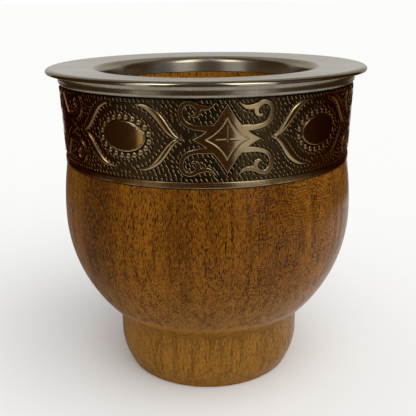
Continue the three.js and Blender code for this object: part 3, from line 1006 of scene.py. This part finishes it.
    def frame_points(self, step):
        """Points round the edge of half a repeat."""
        across = np.linspace(0.0, self.half, round(self.half / step) + 1)
        up = np.linspace(self.low, self.high, round((self.high - self.low) / step) + 1)
        return [
            *((s, self.low) for s in across[:-1]), *((self.half, t) for t in up[:-1]),
            *((s, self.high) for s in across[:0:-1]), *((0.0, t) for t in up[:0:-1]),
        ]

    def fill_points(self, step):
        """Points on the plain stretches, clear of every outline."""
        across, up = np.arange(step / 2, self.half, step), np.arange(self.low + step / 2, self.high, step)
        s, t = (values.ravel() for values in np.meshgrid(across, up, indexing="ij"))
        clear = np.ones(len(s), bool)
        for values, levels in self.outlines:
            found = self.sample(values, s, t)
            inside, outside = min(levels) - self.FILL_CLEARANCE, max(levels) + self.FILL_CLEARANCE
            clear &= (found < inside) | (found > outside)
        return list(zip(s[clear], t[clear]))

    def mark_places(self):
        """Rows of punch marks that follow the ornament's outlines, in half a repeat."""
        placed = []
        for level in np.arange(self.FIRST_ROW, self.LAST_ROW, self.ROW_STEP):
            for line in contour_lines(self.free - level, self.s, self.t):
                for place in even_points(line, self.MARK_STEP):
                    if all(math.dist(place, other) > self.MARK_GAP for other in placed):
                        placed.append(tuple(place))
        return np.array(placed)

    def hand_shift(self, angle, t):
        """Soft noise along the band and up it, which closes on itself round the band."""
        noise.seed_set(self.SHIFT_SEED)
        waves = self.SHIFT_WAVES
        places = (
            Vector((waves * math.sin(a), waves * math.cos(a), h / self.SHIFT_HEIGHT))
            for a, h in zip(angle, t)
        )
        return np.array([noise.noise_vector(place)[:2] for place in places])

    def on_band(self, s, t, height, repeat):
        """Places on the ornament as points in space, shifted a little as work by hand is."""
        turn = bpy.context.scene.mate_band.turn + 2 * math.pi * repeat / self.repeats
        window = np.clip(np.minimum(self.high - t, t - self.field_low) / self.SHIFT_FADE, 0.0, 1.0)
        angle = turn + s / self.radius
        shift = self.hand_shift(angle, t)
        angle = angle + self.SHIFT * shift[:, 0] * window / self.radius
        up = self.middle + t + self.SHIFT * shift[:, 1] * window
        radius = band_radius(up) + height
        return np.stack([radius * np.sin(angle), -radius * np.cos(angle), up], axis=1)


def rounded(distance, rise, radius):
    """A raised form's height from the distance to its outline, with rounded edges."""
    share = np.clip(-distance / radius, 0.0, 1.0)
    return rise * np.sqrt(1.0 - (1.0 - share) ** 2)


def soft_step(value, low, high):
    """0 at the low value and 1 at the high one, with a soft start and end."""
    share = np.clip((value - low) / (high - low), 0.0, 1.0)
    return share * share * (3 - 2 * share)


def contour_lines(values, s, t):
    """The lines along which a field on a grid is zero, each a list of points."""
    above = values > 0
    links = {}

    def crossing(i, j, k, m):
        share = values[i, j] / (values[i, j] - values[k, m])
        return (s[i] + (s[k] - s[i]) * share, t[j] + (t[m] - t[j]) * share)

    corners = above[:-1, :-1].astype(int) + above[1:, :-1] + above[:-1, 1:] + above[1:, 1:]
    places = {}
    for i, j in zip(*np.nonzero((corners > 0) & (corners < 4))):
        cut = []
        near, right, top, far = (i, j), (i + 1, j), (i, j + 1), (i + 1, j + 1)
        for side in ((near, right), (right, far), (top, far), (near, top)):
            if above[side[0]] != above[side[1]]:
                places.setdefault(side, crossing(*side[0], *side[1]))
                cut.append(side)
        for a, b in zip(cut[::2], cut[1::2]):
            links.setdefault(a, []).append(b)
            links.setdefault(b, []).append(a)
    lines, seen = [], set()
    starts = [k for k in links if len(links[k]) == 1] + list(links)
    for start in starts:
        if start in seen:
            continue
        line, here = [start], start
        seen.add(start)
        while True:
            onward = [k for k in links[here] if k not in seen]
            if not onward:
                break
            here = onward[0]
            seen.add(here)
            line.append(here)
        if len(line) > 2 and line[0] in links[line[-1]]:
            line.append(line[0])
        lines.append(np.array([places[k] for k in line]))
    return [line for line in lines if len(line) > 3]


def even_points(line, step):
    """Points spaced evenly along a line, both ends included."""
    lengths = np.concatenate([[0.0], np.cumsum(np.linalg.norm(np.diff(line, axis=0), axis=1))])
    count = max(2, round(lengths[-1] / step) + 1)
    wanted = np.linspace(0.0, lengths[-1], count)
    return np.stack([np.interp(wanted, lengths, line[:, i]) for i in (0, 1)], axis=1)


def band_mesh(ornament):
    """The chased band as a closed ring: ornamented outside, plain inside."""
    outer, faces, chase = band_face(ornament)
    inner, loops = [], []
    for edge_height in (BAND_BOTTOM, BAND_TOP):
        loop = np.nonzero(np.abs(outer[:, 2] - edge_height) < SAME_PLACE)[0]
        angle = np.arctan2(outer[loop, 0], -outer[loop, 1])
        loop, angle = loop[np.argsort(angle)], np.sort(angle)
        inside = band_radius(edge_height) - ornament.band.sheet
        loops.append((loop, len(outer) + len(inner) + np.arange(len(loop)), angle))
        inner += [(inside * math.sin(a), -inside * math.cos(a), edge_height) for a in angle]
    (low, low_in, low_angle), (high, high_in, high_angle) = loops
    wall = [
        *zipped(low_in, low, low_angle, low_angle), *zipped(high, high_in, high_angle, high_angle),
        *zipped(high_in, low_in, high_angle, low_angle),
    ]
    vertices = np.concatenate([outer, np.array(inner)])
    mesh = new_mesh("band_sheet", (vertices * MM).tolist(), faces.tolist() + wall)
    tone = np.zeros((len(vertices), 4), np.float32)
    tone[:len(outer), :3] = chase
    tone[:, 3] = 1.0
    mesh.attributes.new("chase", "FLOAT_COLOR", "POINT").data.foreach_set("color", tone.ravel())
    return mesh


def band_face(ornament):
    """The band's ornamented face all round: vertices, triangles and shares of the metal's tones."""
    flat, triangles = ornament.flat_mesh()
    s, t = flat[:, 0], flat[:, 1]
    height, chase = ornament.relief(s, t)
    points, faces = [], []
    for repeat in range(ornament.repeats):
        for side in (1.0, -1.0):
            faces.append((triangles if side > 0 else triangles[:, ::-1]) + len(points) * len(flat))
            points.append(ornament.on_band(side * s, t, height, repeat))
    return merged(np.concatenate(points), np.concatenate(faces), np.tile(chase, (len(points), 1)))


def merged(vertices, faces, colours):
    """Vertices that lie in one place made one, and the faces that vanish dropped."""
    decimals = 3
    _, first, same = np.unique(np.round(vertices, decimals), axis=0, return_index=True, return_inverse=True)
    faces = same.ravel()[faces]
    whole = (faces[:, 0] != faces[:, 1]) & (faces[:, 1] != faces[:, 2]) & (faces[:, 2] != faces[:, 0])
    return vertices[first], faces[whole], colours[first]


def zipped(first, second, first_angle, second_angle):
    """Triangles between two rings of vertices, each in order of its angle."""
    triangles = []
    i = j = 0
    n, m = len(first), len(second)
    while i < n or j < m:
        next_i = first_angle[i + 1] if i + 1 < n else first_angle[(i + 1) % n] + 2 * math.pi
        next_j = second_angle[j + 1] if j + 1 < m else second_angle[(j + 1) % m] + 2 * math.pi
        if j >= m or (i < n and next_i <= next_j):
            triangles.append((int(first[i % n]), int(first[(i + 1) % n]), int(second[j % m])))
            i += 1
        else:
            triangles.append((int(first[i % n]), int(second[(j + 1) % m]), int(second[j % m])))
            j += 1
    return triangles


# Small raised forms set on the band with geometry nodes

def scatter_tree():
    """Geometry nodes that set a rounded grain on each point, turned and sized by its attributes."""
    tree = bpy.data.node_groups.new("Grains On Band", "GeometryNodeTree")
    for name, kind in (
        ("Geometry", "Geometry"), ("Length", "Float"), ("Width", "Float"), ("Height", "Float"),
        ("Segments", "Int"), ("Rings", "Int"), ("Material", "Material"),
    ):
        tree.interface.new_socket(name, in_out="INPUT", socket_type=f"NodeSocket{kind}")
    tree.interface.new_socket("Geometry", in_out="OUTPUT", socket_type="NodeSocketGeometry")
    given = add_node(tree, "NodeGroupInput").outputs
    grain = add_node(
        tree, "GeometryNodeMeshUVSphere",
        {"Segments": given["Segments"], "Rings": given["Rings"], "Radius": 0.5},
    )
    size = add_node(
        tree, "ShaderNodeCombineXYZ", {0: given["Length"], 1: given["Width"], 2: given["Height"]}
    )
    shaped = add_node(
        tree, "GeometryNodeTransform", {"Geometry": grain.outputs["Mesh"], "Scale": size.outputs[0]}
    )
    turn = add_node(tree, "GeometryNodeInputNamedAttribute", {"Name": "turn"}, data_type="FLOAT_VECTOR")
    rotation = add_node(tree, "FunctionNodeEulerToRotation", {0: turn.outputs["Attribute"]})
    scale = add_node(tree, "GeometryNodeInputNamedAttribute", {"Name": "size"}, data_type="FLOAT_VECTOR")
    placed = add_node(tree, "GeometryNodeInstanceOnPoints", {
        "Points": given["Geometry"], "Instance": shaped.outputs[0],
        "Rotation": rotation.outputs[0], "Scale": scale.outputs["Attribute"],
    })
    real = add_node(tree, "GeometryNodeRealizeInstances", {0: placed.outputs[0]})
    painted = add_node(
        tree, "GeometryNodeSetMaterial", {"Geometry": real.outputs[0], "Material": given["Material"]}
    )
    add_node(tree, "NodeGroupOutput", {"Geometry": painted.outputs[0]})
    return tree


def scattered_mesh(name, places, turns, sizes, grain, segments, rings, material):
    """Grains set on places, as one plain mesh."""
    points = bpy.data.meshes.new(name + "_points")
    points.from_pydata((places * MM).tolist(), [], [])
    for key, values in (("turn", turns), ("size", sizes)):
        attribute = points.attributes.new(key, "FLOAT_VECTOR", "POINT")
        attribute.data.foreach_set("vector", np.asarray(values, np.float32).ravel())
    carrier = bpy.data.objects.new(name + "_points", points)
    bpy.context.scene.collection.objects.link(carrier)
    modifier = carrier.modifiers.new("Grains", "NODES")
    modifier.node_group = bpy.data.node_groups.get("Grains On Band") or scatter_tree()
    wanted = {
        "Length": grain[0] * MM, "Width": grain[1] * MM, "Height": grain[2] * MM,
        "Segments": segments, "Rings": rings, "Material": material,
    }
    for item in modifier.node_group.interface.items_tree:
        if item.in_out == "INPUT" and item.name in wanted:
            modifier[item.identifier] = wanted[item.name]
    depsgraph = bpy.context.evaluated_depsgraph_get()
    mesh = bpy.data.meshes.new_from_object(carrier.evaluated_get(depsgraph))
    carrier.modifiers.clear()
    bpy.data.objects.remove(carrier)
    bpy.data.meshes.remove(points)
    mesh.name = name
    return mesh


def turns_on_band(places, slants):
    """Rotations that lay a grain on the band, its length at a slant to the band's run."""
    turns = []
    for (x, y, _), slant in zip(places, slants):
        out = Vector((x, y, 0.0)).normalized()
        run = Vector((-out.y, out.x, 0.0))
        along = run * math.cos(slant) + Vector((0.0, 0.0, 1.0)) * math.sin(slant)
        matrix = Matrix((along, out.cross(along), out)).transposed()
        turns.append(tuple(matrix.to_euler("XYZ")))
    return turns


def all_repeats(ornament, s, t, height=0.0):
    """The same places in every repeat, as points in space."""
    return np.concatenate([
        ornament.on_band(s, t, np.full(len(s), height), repeat) for repeat in range(ornament.repeats)
    ])


# Operators

class MATECUP_OT_wood(bpy.types.Operator):
    """Turn the wooden cup"""

    bl_idname = "matecup.wood"
    bl_label = "Wooden Cup"

    def execute(self, context):
        add_piece(turned_mesh("turned_cup", wood_profile()), wood_material(), "turned_wood", "wood_cup")
        return {"FINISHED"}


class MATECUP_OT_rim(bpy.types.Operator):
    """Spin the rim with its lip and throat"""

    bl_idname = "matecup.rim"
    bl_label = "Rim"

    def execute(self, context):
        material = white_metal_material("Spun Rim Metal", amount=0.16, polish=0.12, spun=0.04)
        add_piece(turned_mesh("spun_rim", rim_profile()), material, WHITE_METAL_SLOT, "rim")
        return {"FINISHED"}


class MATECUP_OT_collar(bpy.types.Operator):
    """Turn the collar under the rim"""

    bl_idname = "matecup.collar"
    bl_label = "Collar"

    def execute(self, context):
        material = white_metal_material("Collar Metal", amount=0.4, polish=0.26, spun=0.05)
        mesh = turned_mesh("cove_collar", collar_profile())
        add_piece(mesh, material, WHITE_METAL_SLOT, "under_rim_collar")
        return {"FINISHED"}


class MATECUP_OT_band(bpy.types.Operator):
    """Chase the band, with its beads and punch marks"""

    bl_idname = "matecup.band"
    bl_label = "Chased Band"

    # Segments and rings of a grain
    BEAD_FACES, MARK_FACES = (14, 8), (8, 5)

    # A bead's height as a share of its radius
    BEAD_RISE = 1.1

    # Slant of the punch marks and how far it strays, in radians
    MARK_SLANT, SLANT_SPREAD = math.radians(-57.0), 0.16

    # Smallest and largest share of a mark's full size
    MARK_SIZES = (0.82, 1.12)
    MARK_SEED = 7

    # Heights of a mark and of the dark grain beside it that paints its dent's shadow, and how far marks
    # stand off the ground
    MARK_HEIGHT, DENT_HEIGHT, MARK_LIFT = 0.42, 0.1, 0.02

    # From a mark to the painted shadow of its dent, in widths of a mark
    SHADOW_GRAIN_OFFSET = np.array([0.78, 0.42])

    # Marks nearer to a star's middle line than this have no twin on its other side
    TWIN_DISTANCE = 0.3

    def execute(self, context):
        ornament = Ornament()
        add_piece(band_mesh(ornament), chased_material(), BAND_METAL_SLOT, "chased_band", sharp=50.0)
        self.add_beads(ornament)
        self.add_marks(ornament)
        return {"FINISHED"}

    def add_beads(self, ornament):
        """Beads round every oval."""
        radius = ornament.band.bead_radius
        places = all_repeats(ornament, ornament.half + ornament.beads[:, 0], ornament.beads[:, 1])
        material = rubbed_material("Bead Metal", amount=0.6, polish=0.22)
        turns = turns_on_band(places, np.zeros(len(places)))
        full_size = np.ones((len(places), 3))
        grain = (2 * radius, 2 * radius, self.BEAD_RISE * radius)
        mesh = scattered_mesh("oval_beads", places, turns, full_size, grain, *self.BEAD_FACES, material)
        add_piece(mesh, material, BAND_METAL_SLOT)

    def add_marks(self, ornament):
        """Punch marks all over the ground, each with a dark grain beside it: painted shadow of its dent,
        with some dark patina.
        """
        half = ornament.mark_places()
        both = np.concatenate([half, half[half[:, 0] > self.TWIN_DISTANCE] * (-1.0, 1.0)])
        places = all_repeats(ornament, both[:, 0], both[:, 1], self.MARK_LIFT)
        draw = np.random.default_rng(self.MARK_SEED)
        slants = self.MARK_SLANT + draw.normal(0.0, self.SLANT_SPREAD, len(places))
        sizes = draw.uniform(*self.MARK_SIZES, (len(places), 3))
        material = rubbed_material("Punch Mark Metal", amount=0.7, polish=0.2)
        self.add_grains("punch_marks", material, places, slants, sizes, self.MARK_HEIGHT)
        beside = both + ornament.band.mark_width * self.SHADOW_GRAIN_OFFSET
        places = all_repeats(ornament, beside[:, 0], beside[:, 1])
        material = rubbed_material(
            "Punch Hollow Metal", amount=0.7, polish=0.2, clean="hollow", dull="ground",
        )
        self.add_grains("punch_hollows", material, places, slants, sizes, self.DENT_HEIGHT)

    def add_grains(self, name, material, places, slants, sizes, height):
        """Grains as long and wide as a punch mark, at a slant on the band."""
        band = band_sizes()
        grain = (band.mark_length, band.mark_width, height)
        turns = turns_on_band(places, slants)
        mesh = scattered_mesh(name, places, turns, sizes, grain, *self.MARK_FACES, material)
        add_piece(mesh, material, BAND_METAL_SLOT)


class MATECUP_OT_border(bpy.types.Operator):
    """Draw the border wire along the band's lower edge"""

    bl_idname = "matecup.border"
    bl_label = "Border Wire"

    def execute(self, context):
        mesh = turned_mesh("lower_border", border_profile())
        material = rubbed_material("Border Metal", amount=1.0, polish=0.2)
        add_piece(mesh, material, BAND_METAL_SLOT, "border_wire")
        return {"FINISHED"}


class MATECUP_OT_seam(bpy.types.Operator):
    """Lay the soldered seam up the back of the band"""

    bl_idname = "matecup.seam"
    bl_label = "Seam"

    # The solder's section: places across as shares of the seam's width, and heights over the band's ground
    SECTION = ((-0.5, -0.3), (-0.3, 0.05), (0.0, 0.09), (0.3, 0.05), (0.5, -0.3))
    ROWS = 60

    # How far the seam wanders sideways, and over what height
    WANDER, WANDER_HEIGHT = 0.12, 3.0

    def execute(self, context):
        settings, band = context.scene.mate_band, band_sizes()
        vertices = []
        for height in np.linspace(BAND_BOTTOM, BAND_TOP, self.ROWS):
            wander = self.WANDER * noise.noise(Vector((height / self.WANDER_HEIGHT, 0.0, 0.0)))
            for across, proud in self.SECTION:
                radius = band_radius(height) + proud
                angle = settings.seam_turn + (across * band.seam_width + wander) / radius
                x, y = radius * math.sin(angle), -radius * math.cos(angle)
                vertices.append((x * MM, y * MM, height * MM))
        count = len(self.SECTION)
        faces = []
        for i in range(self.ROWS - 1):
            for j in range(count):
                k = (j + 1) % count
                faces.append((i * count + j, i * count + k, (i + 1) * count + k, (i + 1) * count + j))
        faces += [tuple(reversed(range(count))), tuple(range(len(vertices) - count, len(vertices)))]
        mesh = new_mesh("seam_solder", vertices, faces)
        material = rubbed_material("Solder", amount=0.35, polish=0.34)
        add_piece(mesh, material, "solder", "band_seam_solder", sharp=60.0)
        return {"FINISHED"}


class MATECUP_OT_glue(bpy.types.Operator):
    """Finish the glue between mount and wood"""

    bl_idname = "matecup.glue"
    bl_label = "Glue"

    def execute(self, context):
        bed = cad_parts["glue_bed"]
        bed.data.materials.clear()
        bed.data.materials.append(glue_material())
        return {"FINISHED"}


def both_sides(from_turn, to_turn, from_rise, to_rise):
    """A span on the left of the cup, and the same on its right."""
    return (-to_turn, -from_turn, from_rise, to_rise), (from_turn, to_turn, from_rise, to_rise)


# Boards that the gloss shows: name, light, and spans of turn from the front and of rise, in degrees.
# Two tall gaps in front show the white room like windows, each with a lamp over it.
BOARDS = (
    ("brown_board", (0.095, 0.044, 0.015), (
        (-138, -120, -17, 1), (-120, -70, -17, 62), (-70, -46, -18, 14), (-46, -32, -18, -12),
        (-32, 18, -29, 14), (18, 40, -18, -12), (40, 70, -15, 14), (70, 120, -17, 62), (120, 138, -17, 1),
    )),
    ("grey_board", (0.11, 0.085, 0.065), (
        (-70, -52, 14, 80), (-22, 14, 14, 80), (42, 70, 24, 80), (-70, 70, 80, 88),
        *both_sides(70, 120, 62, 88), *both_sides(120, 180, 66, 88),
    )),
    ("pale_board", (0.62, 0.585, 0.535), both_sides(120, 180, 36, 66)),
    ("cool_board", (0.3, 0.34, 0.38), ((42, 70, 14, 24),)),
    ("warm_board", (1.0, 0.76, 0.4), ((-46, -32, -12, -4),)),
    ("back_board", (0.5, 0.47, 0.42), both_sides(138, 180, 6, 12)),
    ("side_board", (0.7, 0.66, 0.6), both_sides(120, 138, 1, 36)),
    ("lamp_board", (5.2, 5.0, 4.6), ((-50, -24, 36, 62), (16, 42, 36, 62))),
)


class MATECUP_OT_stage(bpy.types.Operator):
    """Lay the floor and set the light and the camera"""

    bl_idname = "matecup.stage"
    bl_label = "Stage"

    # Metres from the middle of the floor to its edges, and from the cup's foot down to it
    FLOOR_REACH, FLOOR_DROP = 60.0, 0.0001

    # Strength of the world as light, and as seen by the camera and in gloss
    WORLD_LIGHT, WORLD_SEEN = 0.64, 1.0

    # The soft sun: strength, width of its disc, and turns about x and y in degrees
    SUN_STRENGTH, SUN_WIDTH, SUN_TURNS = 1.6, 70.0, (28.0, 24.0)

    # The boards' distance from their middle, its height, and the least height of a board, in metres
    BOARD_REACH, BOARD_MIDDLE, BOARD_LOWEST = 0.16, 0.065, 0.001

    # Size of the boards' faces, in degrees
    BOARD_STEP = 2

    def execute(self, context):
        scene = context.scene
        scene.view_settings.view_transform = "Standard"
        self.add_floor(scene)
        self.add_world(scene)
        self.add_sun(scene)
        for name, light, spans in BOARDS:
            self.add_board(scene, name, (*light, 1.0), spans)
        self.add_camera(scene)
        return {"FINISHED"}

    def add_floor(self, scene):
        """A plain pale floor that runs far out of sight."""
        reach = self.FLOOR_REACH
        corners = [(-reach, -reach, 0.0), (reach, -reach, 0.0), (reach, reach, 0.0), (-reach, reach, 0.0)]
        mesh = new_mesh("floor", corners, [(0, 1, 2, 3)])
        material, tree, shader = new_material("Pale Floor")
        feed(tree, shader, Base_Color=tuple(scene.mate_stage.floor), Roughness=0.9, Specular_IOR_Level=0.0)
        mesh.materials.append(material)
        floor = bpy.data.objects.new("floor", mesh)
        floor.location.z = -self.FLOOR_DROP
        scene.collection.objects.link(floor)

    def add_world(self, scene):
        """A white room, brighter to the camera and in gloss than as light."""
        white = (1.0, 1.0, 1.0, 1.0)
        world = bpy.data.worlds.new("Studio")
        world.use_nodes = True
        tree = world.node_tree
        tree.nodes.clear()
        path = add_node(tree, "ShaderNodeLightPath").outputs
        glossy = maths(tree, "MAXIMUM", path["Is Glossy Ray"], path["Is Transmission Ray"])
        seen = maths(tree, "MAXIMUM", path["Is Camera Ray"], glossy)
        light, shown = (
            add_node(tree, "ShaderNodeBackground", {"Color": white, "Strength": strength}).outputs[0]
            for strength in (self.WORLD_LIGHT, self.WORLD_SEEN)
        )
        both = add_node(tree, "ShaderNodeMixShader", {0: seen, 1: light, 2: shown})
        add_node(tree, "ShaderNodeOutputWorld", {"Surface": both.outputs[0]})
        scene.world = world

    def add_sun(self, scene):
        """A wide soft light from above, in front and to the right."""
        lamp = bpy.data.lights.new("soft_sky", "SUN")
        lamp.energy = self.SUN_STRENGTH
        lamp.angle = math.radians(self.SUN_WIDTH)
        sun = bpy.data.objects.new("soft_sky", lamp)
        sun.rotation_euler = (*(math.radians(turn) for turn in self.SUN_TURNS), 0.0)
        scene.collection.objects.link(sun)

    def add_board(self, scene, name, light, spans):
        """A curved board round the cup, seen only in its gloss."""
        step = self.BOARD_STEP
        vertices, faces = [], []
        for from_turn, to_turn, from_rise, to_rise in spans:
            for turn in range(from_turn, to_turn, step):
                for rise in range(from_rise, to_rise, step):
                    faces.append(tuple(range(len(vertices), len(vertices) + 4)))
                    vertices += [
                        self.board_corner(turn, rise), self.board_corner(turn + step, rise),
                        self.board_corner(turn + step, rise + step), self.board_corner(turn, rise + step),
                    ]
        mesh = new_mesh(name, vertices, faces)
        material, tree, shader = new_material(name)
        feed(
            tree, shader, Base_Color=(0.0, 0.0, 0.0, 1.0), Specular_IOR_Level=0.0,
            Emission_Color=light, Emission_Strength=1.0,
        )
        mesh.materials.append(material)
        board = bpy.data.objects.new(name, mesh)
        board.visible_camera = board.visible_diffuse = board.visible_shadow = False
        board.visible_transmission = board.visible_volume_scatter = False
        scene.collection.objects.link(board)

    def board_corner(self, turn, rise):
        """A place on the boards' round, no lower than just over the floor."""
        turn, rise = math.radians(turn), math.radians(rise)
        out = self.BOARD_REACH * math.cos(rise)
        height = max(self.BOARD_MIDDLE + self.BOARD_REACH * math.sin(rise), self.BOARD_LOWEST)
        return (out * math.sin(turn), -out * math.cos(turn), height)

    def add_camera(self, scene):
        """A camera in front of the cup that looks a little down on it."""
        stage = scene.mate_stage
        data = bpy.data.cameras.new("camera")
        data.lens = stage.lens
        data.sensor_width = 36.0
        data.clip_start, data.clip_end = 0.01, 500.0
        camera = bpy.data.objects.new("camera", data)
        place = Matrix.Translation((stage.camera_side, -stage.distance, stage.camera_height))
        tilt = Matrix.Rotation(math.pi / 2 - stage.pitch, 4, "X")
        camera.matrix_world = place @ tilt @ Matrix.Rotation(stage.roll, 4, "Z")
        scene.collection.objects.link(camera)
        scene.camera = camera


OPERATORS = (
    MATECUP_OT_wood, MATECUP_OT_rim, MATECUP_OT_collar, MATECUP_OT_band, MATECUP_OT_border,
    MATECUP_OT_seam, MATECUP_OT_glue, MATECUP_OT_stage,
)


class MATECUP_PT_panel(bpy.types.Panel):
    """Lists the pieces of the cup and their settings"""

    bl_idname = "MATECUP_PT_panel"
    bl_label = "Mate Cup"
    bl_space_type = "VIEW_3D"
    bl_region_type = "UI"
    bl_category = "Mate Cup"

    def draw(self, context):
        for operator in OPERATORS:
            self.layout.operator(operator.bl_idname)
        for key in SETTINGS:
            box = self.layout.box()
            group = getattr(context.scene, key)
            for name in group.__annotations__:
                box.prop(group, name)


SETTINGS = {
    "mate_wood": WoodSettings,
    "mate_mount": MountSettings,
    "mate_band": BandSettings,
    "mate_stage": StageSettings,
}


def register():
    for kind in (*SETTINGS.values(), *OPERATORS, MATECUP_PT_panel):
        bpy.utils.register_class(kind)
    for key, kind in SETTINGS.items():
        setattr(bpy.types.Scene, key, PointerProperty(type=kind))


def unregister():
    for key in SETTINGS:
        delattr(bpy.types.Scene, key)
    for kind in reversed((*SETTINGS.values(), *OPERATORS, MATECUP_PT_panel)):
        bpy.utils.unregister_class(kind)


def main():
    register()
    for operator in OPERATORS:
        group, name = operator.bl_idname.split(".")
        getattr(getattr(bpy.ops, group), name)()


if __name__ == "__main__":
    main()
